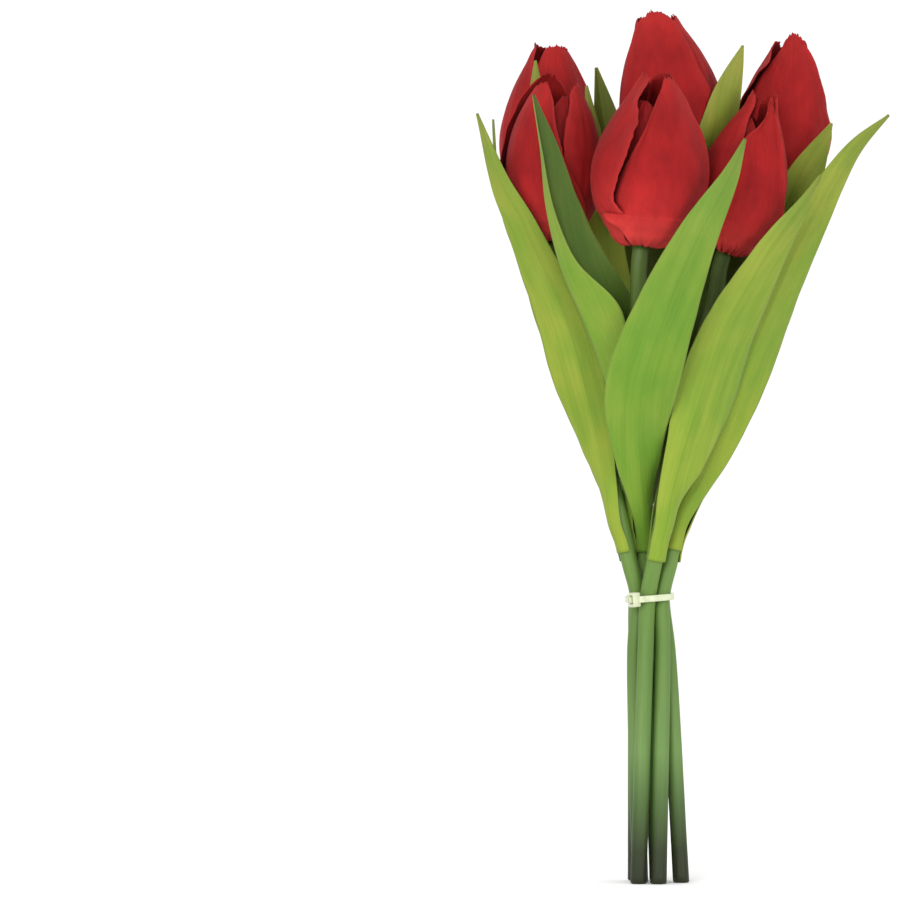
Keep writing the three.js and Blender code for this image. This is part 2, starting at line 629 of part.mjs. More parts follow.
function buildTulip(tulip) {
  const group = new THREE.Group();
  const stem = stemCurve(tulip);
  const tube = sweptTube(stemFrames(stem), STEM_SIDES, stemRadius, boreRadius);
  addMesh(group, `${tulip.name}_stem`, tube, 'stem');
  addMesh(group, `${tulip.name}_wire`, sweptTube(wireFrames(stem), WIRE_SIDES, wireRadius), 'wire');
  for (const leaf of tulip.leaves) {
    addMesh(group, `${tulip.name}_leaf_${leaf.name}`, leafBlade(leaf, stem), 'leaf');
  }
  const bud = new THREE.Group();
  bud.position.set(...tulip.head.at);
  bud.quaternion.setFromUnitVectors(new THREE.Vector3(0, 0, 1), budAxis(tulip.head));
  bud.rotateZ(THREE.MathUtils.degToRad(tulip.head.turn));
  addMesh(bud, `${tulip.name}_receptacle`, receptacle(), 'cup');
  for (let index = 0; index < PETAL_COUNT; index += 1) {
    addMesh(bud, `${tulip.name}_petal_${index + 1}`, outerPetal(tulip.head, index), 'petal');
  }
  addMesh(bud, `${tulip.name}_inner_petals`, innerWhorl(tulip.head), 'whorl');
  group.add(bud);
  return group;
}

// Outline of the tied bundle: the six stems with a taut band round them, at a distance
// from their walls. Its point for a direction lies on the stem that reaches furthest there.
function bundleOutline(direction, distance) {
  const out = new THREE.Vector2(Math.cos(direction), Math.sin(direction));
  const centres = TULIPS.map((tulip) => {
    const stem = stemCurve(tulip);
    const centre = stem.getPointAt(shareAtHeight(stem, TIE_HEIGHT));
    return new THREE.Vector2(centre.x, centre.y);
  });
  const reach = centres.map((centre) => centre.dot(out));
  const furthest = centres[reach.indexOf(Math.max(...reach))];
  return furthest.clone().addScaledVector(out, stemRadius + distance);
}

// The strap as a flat ribbon of the given middle line.
function ribbon(points) {
  const left = [];
  const right = [];
  points.forEach((point, index) => {
    const before = points[Math.max(index - 1, 0)];
    const after = points[Math.min(index + 1, points.length - 1)];
    const along = after.clone().sub(before).normalize();
    const across = new THREE.Vector2(-along.y, along.x).multiplyScalar(STRAP_THICKNESS / 2);
    left.push(point.clone().add(across));
    right.push(point.clone().sub(across));
  });
  const shape = new THREE.Shape([...left, ...right.reverse()]);
  const band = new THREE.ExtrudeGeometry(shape, { depth: STRAP_WIDTH, bevelEnabled: false });
  return band.translate(0, 0, -STRAP_WIDTH / 2);
}

// The cable tie: the strap leaves the side of its head, runs round the stems, comes back
// under the head and leaves through the slot, where its tail is cut off.
function cableTie() {
  const side = THREE.MathUtils.degToRad(TIE_HEAD_SIDE);
  const out = new THREE.Vector2(Math.cos(side), Math.sin(side));
  const along = new THREE.Vector2(-out.y, out.x);
  const middleGap = TIE_GAP + STRAP_THICKNESS / 2;
  const seat = bundleOutline(side, middleGap);
  const at = (tangential, radial) => {
    return seat.clone().addScaledVector(along, tangential).addScaledVector(out, radial);
  };
  const headFoot = STRAP_THICKNESS / 2 + SEAT_GAP;
  const start = headFoot + STRAP_THICKNESS / 2;
  const top = headFoot + TIE_HEAD_DEPTH + TIE_TAIL;
  const points = STRAP_ROOT.map((share) => at(TIE_HEAD_WIDTH * share, start));
  const first = TIE_HEAD_SIDE + STRAP_LEAVES;
  const last = TIE_HEAD_SIDE + 360 - STRAP_RETURNS;
  for (let step = 0; step <= STRAP_STEPS; step += 1) {
    const degrees = THREE.MathUtils.lerp(first, last, step / STRAP_STEPS);
    points.push(bundleOutline(THREE.MathUtils.degToRad(degrees), middleGap));
  }
  for (const [tangential, radial] of STRAP_BEND_POINTS) {
    points.push(at(tangential * STRAP_BEND, radial * STRAP_BEND));
  }
  points.push(at(0, top));
  const band = toManifold(ribbon(points));
  const headMiddle = at(0, headFoot + TIE_HEAD_DEPTH / 2);
  const placed = (geometry) => {
    geometry.rotateZ(side);
    return toManifold(geometry.translate(headMiddle.x, headMiddle.y, 0));
  };
  const block = placed(new THREE.BoxGeometry(TIE_HEAD_DEPTH, TIE_HEAD_WIDTH, TIE_HEAD_LENGTH));
  const slotWidth = STRAP_THICKNESS + SEAT_GAP * 2;
  const slotLength = STRAP_WIDTH + SEAT_GAP * 2;
  const slot = placed(new THREE.BoxGeometry(TIE_HEAD_DEPTH * 2, slotWidth, slotLength));
  return fromManifold(band.add(block.subtract(slot)));
}

const bouquet = new THREE.Group();
for (const tulip of TULIPS) bouquet.add(buildTulip(tulip));
const tie = addMesh(bouquet, 'cable_tie', cableTie(), 'tie');
tie.position.z = TIE_HEIGHT;
tie.rotation.y = THREE.MathUtils.degToRad(-TIE_TILT);

export default bouquet;
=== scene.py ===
import bpy, math
import numpy as np
from mathutils import Matrix, Vector


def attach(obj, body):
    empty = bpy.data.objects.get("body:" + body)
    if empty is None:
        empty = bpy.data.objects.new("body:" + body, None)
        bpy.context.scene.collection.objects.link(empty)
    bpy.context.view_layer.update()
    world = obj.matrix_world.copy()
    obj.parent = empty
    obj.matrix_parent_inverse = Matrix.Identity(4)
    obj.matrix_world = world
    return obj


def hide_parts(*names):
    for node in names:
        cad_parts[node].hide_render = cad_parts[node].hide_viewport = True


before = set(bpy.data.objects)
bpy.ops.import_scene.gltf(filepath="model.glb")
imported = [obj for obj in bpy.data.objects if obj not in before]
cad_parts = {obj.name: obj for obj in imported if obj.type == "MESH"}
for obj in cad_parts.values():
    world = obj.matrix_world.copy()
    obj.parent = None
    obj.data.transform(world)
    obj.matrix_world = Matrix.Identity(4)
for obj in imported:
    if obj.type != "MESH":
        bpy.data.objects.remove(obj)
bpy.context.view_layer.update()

MM = 0.001
UP = Vector((0, 0, 1))

# Sizes of the part, in millimetres, degrees or shares of a length.
STEM_RADIUS = 3.15
BORE_RADIUS = 1.62          # just over the 1.607 at the corners of the part's bore
STEM_NECK = 7.0
STEM_PITCH = 6.65
SEAT_GAP = 0.3
CUP_RADIUS = 4.3
CUP_HEIGHT = 6.0
SPIGOT_RADIUS = 2.0
SPIGOT_HEIGHT = 4.0
SPIGOT_TAPER = 0.8
CUP_FOOT_SHARE = 0.9
WIRE_PEG = 5.0
PETAL_FOOT = 1.0
PETAL_THICKNESS = 0.5
PETAL_TIP_DROP = 3.2
PETAL_TIP_START = 0.6
PETAL_SEAT_ALLOWANCE = 1.025
PETAL_LAP_START = 0.05
LAP_FADE = (0.86, 0.97)
WHORL_INSET = 4.2
WHORL_DROP = 0.85
WHORL_WALL = 1.3
WHORL_ROOT = 1.0
WHORL_SHARE = 0.2
WHORL_RIM_SHARE = 0.7
WHORL_SPREAD = 0.6
WHORL_STEP = 0.02
LEAF_THICKNESS = 0.6
LEAF_FOOT = 7.0
LEAF_LIFT = 1.2
LEAF_CURVE = 0.012          # 1 / radius of an open leaf's section
# Where a leaf's foot widens, its wrap flattens and its fold sets in, and the places of the
# directions and folds that TULIPS gives.
LEAF_WIDENS = (0, 0.16)
LEAF_FLATTENS = (0.04, 0.24)
LEAF_FOLDS = (0.03, 0.3)
LEAF_FACE_STATIONS = (0, 0.07, 0.42, 0.72, 1)
LEAF_FOLD_STATIONS = (0, 0.3, 0.52, 1)
COLLAR_HEIGHT = 124.0
TIE_HEIGHT = 109.6
# Levels of the bundle: name, middle of the six stems there, height.
BUNDLE_LEVELS = [("foot", (-3, 0.5), 0), ("below", (-3.1, 0), 88),
                 ("tie", (-3.1, 0), TIE_HEIGHT), ("collar", (-3.1, 0), COLLAR_HEIGHT)]
TIE_TILT = 4.0
TIE_GAP = 0.5
STRAP_WIDTH = 2.5
STRAP_THICKNESS = 1.1
TIE_HEAD_WIDTH = 3.9
TIE_HEAD_LENGTH = 5.6
TIE_HEAD_DEPTH = 3.4
TIE_TAIL = 0.9
TIE_HEAD_SIDE = 217
STRAP_LEAVES = 38.4
STRAP_RETURNS = 24
STRAP_ROOT = (0.3, 0.62)
STRAP_BEND = 0.66           # where it turns into its head
STRAP_BEND_POINTS = ((-1.4, 0), (-0.4, 0.35), (0, 1.5))

# Sizes of the scene alone, in millimetres unless said otherwise.
PETAL_LAP = 0.85            # between two lapped petals
PETAL_TUCK = 0.5            # how far a covered edge bends in
PETAL_CURL = (0.74, 1.0)    # share of the half width that bends
PETAL_EDGE_WAVE = 0.016     # of its reach, how uneven a petal's edge is
PETAL_CRUMPLE = 0.25        # near its edges
BELLY_CRUMPLE = 0.15        # all over it
HEM_DIP = 2.6               # how far a petal's hem hangs over the receptacle
HEM_AT, HEM_SPREAD = 0.026, 0.022  # share of the height where it does
TIP_TEARS = (0.6, 0.7, 0.45)  # mean depth of the tears at a tip, and two waves round it
SEAM_SHADE_MARGIN = 4.0           # degrees of painted shade beside a covering edge
TIP_SPREAD = 24             # degrees that a blunt tip adds to a petal's edge
TIP_RISE = 0.6              # share by which its corners drop less
SHEET_SHARE = 0.85          # of the solids' thickness, so that laps keep their gap
LEAF_EDGE_WAVE = 0.012      # of the half width, how uneven a leaf's edge is
LEAF_RIPPLE = 0.35          # height of the ripples at a leaf's edge
LEAF_SHADING_TURNS = (0.45, 0.85)  # where the painted shade and light on a leaf's inner face change
STEM_UNEVEN = 0.012         # of a stem's radius
CUT_CHAMFER = 0.35          # on the cut end of a stem
CUT_SHARE = 0.0012          # of a stem's length that it takes
STRAP_TOOTH_PITCH = 1.0
STRAP_TOOTH_DEPTH = 0.09
STRAP_MARGIN = 0.1          # height of the margins on its outer face
RINGS_PER_TOOTH = 6
FIRST_SEED, SEED_STRIDE = 100, 17  # of the tulips
SEED_STEPS = {"stem": 7.3, "petal": 5.1, "leaf": 3.7, "whorl": 2.3}  # for the materials' noise
CURVE_SAMPLES, LINE_SAMPLES = 400, 60
STEM_SIDES, STEM_RINGS = 36, 110
LEAF_GRID = (29, 121)       # points across and along
PETAL_GRID = (81, 111)
PETAL_ROW_BIAS = 1.3        # brings rows closer at the foot
WHORL_GRID = (25, 41)

# The six tulips, with the part's numbers, apart from the tops of front_left and back_centre.
# bundle: place across and deep in the bundle, in stem pitches, at each level. stem: points above
# it. head: foot of the bud, lean, height, radius, turn, how open it is, the edge on top at each
# seam (1 is the later one), share by which covering edges are wider, and share of the height
# that each petal's tip reaches. leaves: side of the stem and wrap of the foot, width, direction
# of the inner face and fold at three places, and route. skew makes one half wider than the
# other, and blunt keeps the width longer. Angles are in degrees.
TULIPS = [{
    "name": "front_centre",
    "bundle": {"foot": (-0.9, 1.5), "below": (-0.88, 0.84), "tie": (-0.84, 0.74),
               "collar": (-0.5, 0.64)},
    "stem": [(-8.5, -3, 150), (-10.5, -14, 185), (-9.5, -25, 220)],
    "head": {"at": (-8.3, -30, 244), "lean": (6.5, -1), "height": 67, "radius": 22.2,
             "turn": -62, "open": 0, "over": (1, 1, -1), "cover": 1, "tops": (0.965, 1, 0.985)},
    "leaves": [
        {"name": "left", "side": 172, "wrap": 55, "width": 33, "faces": (7, -24, -45),
         "fold": (22, 64, 40), "skew": 0.4,
         "route": [(-14.5, -7, 158), (-22, -21, 194), (-31, -26, 217), (-39, -28.5, 236),
                   (-44.5, -29.5, 259), (-46.5, -30, 280), (-49.3, -31, 301)]},
        {"name": "front", "side": -70, "wrap": 58, "width": 29, "faces": (92, 96, 100),
         "fold": (12, 14, 16),
         "route": [(-8.2, -18.5, 160), (-8, -36, 190), (1.3, -45, 220), (12.7, -51, 247),
                   (25, -50, 270), (30.4, -46, 283.5)]},
    ],
}, {
    "name": "front_left",
    "bundle": {"foot": (-0.7, 0.15), "below": (-0.98, -0.25), "tie": (-0.82, -0.3),
               "collar": (-1.34, -0.46)},
    "stem": [(-20, -4.5, 160), (-31, -5, 200), (-39, -4.5, 230)],
    "head": {"at": (-42, -4, 247), "lean": (2, 0), "height": 65, "radius": 19.6,
             "turn": -118, "open": 0.6, "over": (1, 1, 1), "cover": 1, "tops": (0.93, 0.94, 1.0)},
    "leaves": [
        {"name": "left", "side": 222, "wrap": 60, "width": 22, "faces": (72, 65, 58),
         "fold": (10, 13, 16), "skew": 0.25,
         "route": [(-21.5, -9.5, 157), (-30, -13.5, 194), (-36.5, -15, 216), (-46, -17, 237),
                   (-54.3, -19.5, 255), (-61, -18.5, 268), (-70.5, -14, 295)]},
        {"name": "back", "side": 108, "wrap": 44, "width": 16, "faces": (-30, -8, 15),
         "fold": (12, 13, 14),
         "route": [(-23, 3, 160), (-37, 4, 200), (-50, 2, 230), (-59.5, -2, 252),
                   (-63.3, -7, 270), (-64.3, -9.5, 293)]},
    ],
}, {
    "name": "back_left",
    "bundle": {"foot": (0.36, 1.28), "below": (-0.05, 1.4), "tie": (-0.12, 1.43),
               "collar": (-0.72, 2.06)},
    "stem": [(-17, 22, 160), (-29, 32, 200), (-39, 38.5, 235)],
    "head": {"at": (-44, 41, 261), "lean": (2.5, 1), "height": 65, "radius": 19,
             "turn": -60, "open": 0.35, "over": (1, 1, -1), "cover": 1, "tops": (0.985, 0.96, 1)},
    "leaves": [
        {"name": "inner", "side": -22, "wrap": 52, "width": 23, "faces": (95, 95, 95),
         "fold": (8, 10, 12), "skew": 0.25,
         "route": [(-10, 14, 155), (-14, 13, 200), (-19, 16, 240), (-23, 21, 280),
                   (-27.7, 23, 308)]},
        {"name": "outer", "side": -130, "wrap": 50, "width": 22, "faces": (85, 88, 90),
         "fold": (4, 5, 6), "blunt": 1.5,
         "route": [(-23, 17, 160), (-34, 19.5, 200), (-42, 18.7, 240), (-46, 18.6, 275),
                   (-47.7, 18.5, 317.5)]},
    ],
}, {
    "name": "back_centre",
    "bundle": {"foot": (1.67, -0.22), "below": (0.93, 0.33), "tie": (0.57, 0.46),
               "collar": (0.74, 0.96)},
    "stem": [(4.5, 9, 160), (8.5, 11.5, 200), (10.5, 13, 240)],
    "head": {"at": (9.5, 13, 270), "lean": (-11.5, 0), "height": 68, "radius": 21.3,
             "turn": -98, "open": 0.35, "over": (1, 1, -1), "cover": 0.87,
             "tops": (0.99, 0.955, 0.975)},
    "leaves": [
        {"name": "right", "side": -70, "wrap": 50, "width": 26, "faces": (100, 138, 106),
         "fold": (8, 5, 4), "skew": 0.22, "blunt": 2,
         "route": [(5.5, 3.5, 152), (9, 4.5, 185), (13, 5, 215), (16, 5.5, 240),
                   (17.3, 4.6, 264), (23.3, 0.2, 285), (26.6, -1.5, 300), (32, 0, 322)]},
        {"name": "left", "side": 115, "wrap": 55, "width": 29, "faces": (-80, -80, -80),
         "fold": (10, 12, 14), "skew": 0.25, "blunt": 1.3,
         "route": [(0.5, 20, 160), (-3, 27, 200), (-8, 28, 235), (-18, 30, 275),
                   (-24, 30, 315.5)]},
    ],
}, {
    "name": "front_right",
    "bundle": {"foot": (-0.83, -1.14), "below": (-0.42, -1.24), "tie": (-0.27, -1.16),
               "collar": (0.11, -1.37)},
    "stem": [(4.6, -12, 160), (13.8, -13, 200), (21, -10.5, 226)],
    "head": {"at": (24.2, -9.2, 242.3), "lean": (16.6, 0), "height": 64, "radius": 18.6,
             "turn": -67, "open": 0, "over": (1, 1, -1), "cover": 0.68, "tops": (0.965, 1, 0.985)},
    "leaves": [
        {"name": "right", "side": -70, "wrap": 62, "width": 28, "faces": (115, 116, 118),
         "fold": (12, 13, 14), "skew": -0.3,
         "route": [(4, -19, 150), (14, -23, 185), (24, -26, 213), (35, -28, 233),
                   (43, -28, 246), (54, -28, 261), (60, -27, 271)]},
        {"name": "back", "side": 95, "wrap": 48, "width": 30, "faces": (-85, -85, -85),
         "fold": (6, 6, 8), "skew": 0.18, "blunt": 2.8,
         "route": [(4.2, -4, 160), (7, -3.5, 190), (12.5, -3.5, 216), (20.5, 0, 234),
                   (29.5, 7.5, 249.5)]},
    ],
}, {
    "name": "back_right",
    "bundle": {"foot": (0.32, -1.28), "below": (0.58, -0.69), "tie": (0.55, -0.58),
               "collar": (1.05, -0.38)},
    "stem": [(12, 2, 160), (25, 10, 200), (37, 18, 235)],
    "head": {"at": (45, 24, 263), "lean": (7.5, 0), "height": 66, "radius": 18.5,
             "turn": -85, "open": 0.1, "over": (1, 1, -1), "cover": 1.12,
             "tops": (1, 0.975, 0.95)},
    "leaves": [
        {"name": "right", "side": -82, "wrap": 44, "width": 25, "faces": (118, 114, 110),
         "fold": (10, 14, 18), "skew": -0.1,
         "route": [(17, -6, 158), (33.5, -10, 200), (48, -11.5, 235), (58, -11, 255),
                   (68, -10, 273), (76, -7, 284), (87.8, -4, 295)]},
        {"name": "front", "side": 24, "wrap": 42, "width": 25, "faces": (-95, -92, -88),
         "fold": (6, 8, 8), "skew": 0.3, "blunt": 2,
         "route": [(19, 2.6, 160), (23.5, 2.2, 177), (27.5, 2.6, 195), (35, 6, 225),
                   (43.5, 6.5, 248), (54, 3, 272), (66, -1.5, 292)]},
    ],
}]

# Outlines as (share of length, value), also the part's own. Buds: share of the radius. Petals:
# degrees from their middle line. Leaves: share of their half width.
BUD_FOOT = [(0, 0.2), (0.015, 0.3), (0.035, 0.5), (0.075, 0.66), (0.12, 0.77), (0.21, 0.9),
            (0.33, 0.99), (0.45, 1)]
BUD_CLOSED_TOP = [(0.57, 0.91), (0.67, 0.78), (0.76, 0.64), (0.89, 0.41), (0.96, 0.27), (1, 0.15)]
BUD_OPEN_TOP = [(0.57, 0.96), (0.67, 0.9), (0.76, 0.81), (0.89, 0.6), (0.96, 0.44), (1, 0.33)]
PETAL_EDGE_OVER = [(0, 46), (0.05, 68), (0.14, 88), (0.27, 82), (0.4, 66), (0.6, 55), (0.76, 54),
                   (0.88, 52), (0.95, 47), (1, 34)]
PETAL_EDGE_UNDER = [(0, 40), (0.06, 50), (0.12, 62), (0.24, 76), (0.5, 80), (0.7, 78), (0.82, 70),
                    (0.9, 63), (0.96, 57), (1, 46)]
WHORL_OUTLINE = [(0, 50), (0.3, 56), (0.6, 54), (0.8, 44), (0.93, 28), (1, 10)]
LEAF_OUTLINE = [(0, 0.3), (0.15, 0.42), (0.26, 0.68), (0.42, 1), (0.6, 0.84), (0.78, 0.54),
                (0.9, 0.28), (1, 0.03)]

# How the petals lie at the seams that the photograph shows. Seam k is where petal k's later edge
# meets petal k + 1's earlier one. later and earlier are (share of height, degrees from the
# petal's middle), on_top is (share of height, 1 where the later edge lies outside), and lift is
# (share of height, millimetres that the outer edge stands off).
PLAIN_LIFT = [(0, 0.2), (0.3, 0.8), (0.8, 1.0), (1, 0.4)]
SEAMS = {
    "front_centre": {2: {
        "later": [(0, 46), (0.06, 56), (0.13, 66), (0.19, 60), (0.24, 56), (0.43, 66), (0.6, 71),
                  (0.74, 71), (0.86, 62), (0.95, 66), (1, 66)],
        "earlier": [(0, 48), (0.04, 56), (0.075, 64), (0.16, 82), (0.24, 78), (0.32, 68),
                    (0.43, 57), (0.59, 45), (0.735, 37), (0.86, 28), (0.95, 16), (1, 8)],
        "on_top": [(0, -1), (0.15, -1), (0.23, 1), (1, 1)],
        "lift": [(0, 0.4), (0.05, 1.2), (0.11, 2.6), (0.17, 1.2), (0.22, 0.6), (0.4, 1.2),
                 (0.75, 1.6), (1, 0.4)],
    }},
    "front_left": {0: {
        "later": [(0, 46), (0.05, 66), (0.14, 78), (0.27, 62), (0.4, 46), (0.5, 38), (0.6, 34),
                  (0.75, 28), (0.92, 24), (1, 16)],
        "lift": [(0, 0.3), (0.4, 1.0), (0.8, 1.4), (1, 0.8)],
    }},
    "front_right": {0: {
        "later": [(0, 40), (0.05, 50), (0.12, 58), (0.22, 52), (0.46, 30), (0.65, 25), (0.82, 20),
                  (0.93, 13), (1, 8)],
        "lift": [(0, 0.3), (0.3, 1.2), (0.7, 1.6), (1, 0.6)],
    }, 2: {
        "earlier": [(0, 40), (0.05, 46), (0.1, 50), (0.19, 47), (0.43, 41), (0.69, 38),
                    (0.81, 22), (0.9, 10), (1, 5)],
        "lift": [(0, 0.3), (0.3, 1.0), (0.8, 1.2), (1, 0.6)],
    }},
    "back_left": {2: {
        "later": [(0, 46), (0.05, 66), (0.14, 84), (0.4, 80), (0.6, 76), (0.76, 66), (0.88, 50),
                  (0.95, 40), (1, 32)],
        "earlier": PETAL_EDGE_UNDER,
        "on_top": [(0, 1), (1, 1)],
        "lift": [(0, 0.2), (0.3, 0.3), (0.8, 0.4), (1, 0.3)],
    }},
    "back_right": {2: {
        "later": [(0, 46), (0.05, 60), (0.14, 66), (0.3, 56), (0.5, 42), (0.6, 42), (0.7, 52),
                  (0.8, 56), (0.875, 70), (0.95, 64), (1, 50)],
        "earlier": [(0, 40), (0.06, 50), (0.12, 62), (0.24, 76), (0.5, 84), (0.7, 80),
                    (0.82, 66), (0.9, 52), (1, 34)],
        "on_top": [(0, 1), (1, 1)],
        "lift": [(0, 0.3), (0.4, 0.8), (0.8, 1.0), (1, 0.6)],
    }},
}
BLUNT_TIPS = {"back_left": 1.0, "back_centre": 0.4, "front_centre": 0.5, "front_right": 0.5}

# Leaves whose foot starts this share of the length higher, and the leaf whose near half swells:
# by how many millimetres, at which share of the length, and over which.
LEAF_STARTS = {"front_left_left": 0.02, "front_centre_front": 0.02, "back_right_right": 0.02}
LEAF_SWELLS = {"front_centre_left": (7, 0.53, 0.09)}
# Single leaves: brightness of the inner face low and high up, which is painted shade below 1 and
# painted light above it, and shares of olive and green.
LEAF_SHADING_AND_HUES = {
    "front_centre_front": (1, 1.05, 0, 1),
    "front_centre_left": (1, 1, 0, 0.6),
    "front_left_left": (1, 1.05, 0.15, 0),
    "back_left_inner": (1, 1, 0.3, 0),
    "back_left_outer": (1, 1.4, 0.2, 0),
    "back_centre_right": (0.8, 1.25, 0.3, 0),
    "back_centre_left": (0.7, 1.4, 0.6, 0),
    "back_right_right": (1, 1, 0.1, 0),
    "back_right_front": (0.8, 2.5, 0.6, 0),
}


def smoothstep(x, low, high):
    t = np.clip((x - low) / (high - low), 0, 1)
    return t * t * (3 - 2 * t)


def lerp(a, b, t):
    return a + (b - a) * t


def unit(vectors):
    return vectors / np.linalg.norm(vectors, axis=-1)[..., None]


def hermite(p1, p2, t1, t2, w):
    """Cubic from p1 to p2 with tangents t1 and t2, at the share w."""
    return (p1 + t1 * w + (-3 * p1 + 3 * p2 - 2 * t1 - t2) * w ** 2
            + (2 * p1 - 2 * p2 + t1 + t2) * w ** 3)


def fraction_curve(points):
    """Smooth curve through (at, value) pairs, as a function of at."""
    pts = np.array(points, float)
    last = len(pts) - 1
    samples = []
    for t in np.linspace(0, last, CURVE_SAMPLES):
        i = min(int(t), last - 1)
        p0, p1, p2, p3 = pts[max(i - 1, 0)], pts[i], pts[i + 1], pts[min(i + 2, last)]
        samples.append(hermite(p1, p2, (p2 - p0) / 2, (p3 - p1) / 2, t - i))
    samples = np.array(samples)
    return lambda at: np.interp(at, samples[:, 0], samples[:, 1])


class Line:
    """Centripetal spline through points, read by its share of length."""

    def __init__(self, points):
        pts = np.array(points, float)
        pts = np.vstack([2 * pts[0] - pts[1], pts, 2 * pts[-1] - pts[-2]])
        out = []
        for i in range(1, len(pts) - 2):
            p0, p1, p2, p3 = pts[i - 1:i + 3]
            d0, d1, d2 = (max(np.linalg.norm(b - a), 1e-6) ** 0.5
                          for a, b in ((p0, p1), (p1, p2), (p2, p3)))
            t1 = ((p1 - p0) / d0 - (p2 - p0) / (d0 + d1) + (p2 - p1) / d1) * d1
            t2 = ((p2 - p1) / d1 - (p3 - p1) / (d1 + d2) + (p3 - p2) / d2) * d1
            w = np.linspace(0, 1, LINE_SAMPLES, endpoint=(i == len(pts) - 3))[:, None]
            out.append(hermite(p1, p2, t1, t2, w))
        self.points = np.vstack(out)
        steps = np.linalg.norm(np.diff(self.points, axis=0), axis=1)
        self.length = steps.sum()
        self.share = np.concatenate([[0], np.cumsum(steps)]) / self.length
        self.slope = unit(np.gradient(self.points, self.share, axis=0))

    def read(self, values, share):
        return np.stack([np.interp(share, self.share, values[:, k]) for k in range(3)], -1)

    def at(self, share):
        return self.read(self.points, share)

    def tangent(self, share):
        return unit(self.read(self.slope, share))

    def share_at_height(self, height):
        return float(np.interp(height, self.points[:, 2], self.share))


class Waves:
    """Smooth repeatable noise of one or two variables, about -1 to 1."""

    PERIOD = 6.283
    GAIN = 1.4

    def __init__(self, seed, count, low, high):
        rng = np.random.default_rng(seed)
        sizes = rng.uniform(low, high, (count, 2))
        self.rates = sizes * np.sign(rng.uniform(-1, 1, (count, 2)))
        self.phases = rng.uniform(0, self.PERIOD, count)

    def __call__(self, a, b=0.0):
        total = sum(np.sin(rate[0] * a * self.PERIOD + rate[1] * b * self.PERIOD + phase)
                    for rate, phase in zip(self.rates, self.phases))
        return total / len(self.phases) * self.GAIN


def new_mesh(name, verts, faces, material, attributes=None, matrix=None):
    mesh = bpy.data.meshes.new(name)
    mesh.from_pydata([tuple(v) for v in np.asarray(verts, float)], [], faces)
    for key, values in (attributes or {}).items():
        layer = mesh.attributes.new(key, "FLOAT", "POINT")
        layer.data.foreach_set("value", np.asarray(values, np.float32))
    if matrix is not None:
        mesh.transform(matrix)
    mesh.transform(Matrix.Scale(MM, 4))
    mesh.polygons.foreach_set("use_smooth", [True] * len(mesh.polygons))
    mesh.materials.append(material)
    mesh.update()
    piece = bpy.data.objects.new(name, mesh)
    bpy.context.scene.collection.objects.link(piece)
    return piece


def grid(size, start=0):
    """Coordinates of a sheet: u from -1 to 1 across it, v from start to 1 along it."""
    return np.meshgrid(np.linspace(-1, 1, size[0]), np.linspace(start, 1, size[1]))


def shell(points, u, v, thickness, extra):
    """Closed thin sheet round a grid of middle points (rows along, columns across)."""
    rows, cols = points.shape[:2]
    normal = np.cross(np.gradient(points, axis=1), np.gradient(points, axis=0))
    normal /= np.linalg.norm(normal, axis=2)[..., None] + 1e-12
    offset = normal * (thickness / 2)
    n = rows * cols
    faces = []
    for r in range(rows - 1):
        for c in range(cols - 1):
            a = r * cols + c
            faces.append((a, a + 1, a + cols + 1, a + cols))
            faces.append((n + a, n + a + cols, n + a + cols + 1, n + a + 1))
    for c in range(cols - 1):
        t = (rows - 1) * cols + c
        faces.append((c + 1, c, n + c, n + c + 1))
        faces.append((t, t + 1, n + t + 1, n + t))
    for r in range(rows - 1):
        a, b = r * cols, r * cols + cols - 1
        faces.append((a, a + cols, n + a + cols, n + a))
        faces.append((b + cols, b, n + b, n + b + cols))
    values = {"across": u, "along": v, **extra}
    data = {key: np.concatenate([value.ravel()] * 2) for key, value in values.items()}
    data["inside"] = np.concatenate([np.zeros(n), np.ones(n)])
    verts = np.vstack([(points + offset).reshape(-1, 3), (points - offset).reshape(-1, 3)])
    return verts, faces, data


def lathe(profile, sides=40):
    """Closed turned solid round Z; the profile closes on itself or ends on the axis."""
    verts, rings = [], []
    for radius, height in profile:
        if radius < 1e-6:
            rings.append([len(verts)] * sides)
            verts.append((0, 0, height))
        else:
            rings.append(list(range(len(verts), len(verts) + sides)))
            angles = [2 * math.pi * k / sides for k in range(sides)]
            verts += [(radius * math.cos(a), radius * math.sin(a), height) for a in angles]
    faces = []
    for a, b in zip(rings, rings[1:]):
        for k in range(sides):
            m = (k + 1) % sides
            face = tuple(dict.fromkeys((a[k], a[m], b[m], b[k])))
            if len(face) > 2:
                faces.append(face)
    return verts, faces


def ring_faces(rings, size, closed):
    """Quads between rings of points; where closed, the last ring joins the first."""
    faces = []
    for ring in range(rings if closed else rings - 1):
        a, b = ring * size, (ring + 1) % rings * size
        for k in range(size):
            m = (k + 1) % size
            faces.append((a + k, a + m, b + m, b + k))
    return faces


def srgb(r, g, b):
    return tuple(((c / 255 + 0.055) / 1.055) ** 2.4 if c > 10 else c / 255 / 12.92
                 for c in (r, g, b))


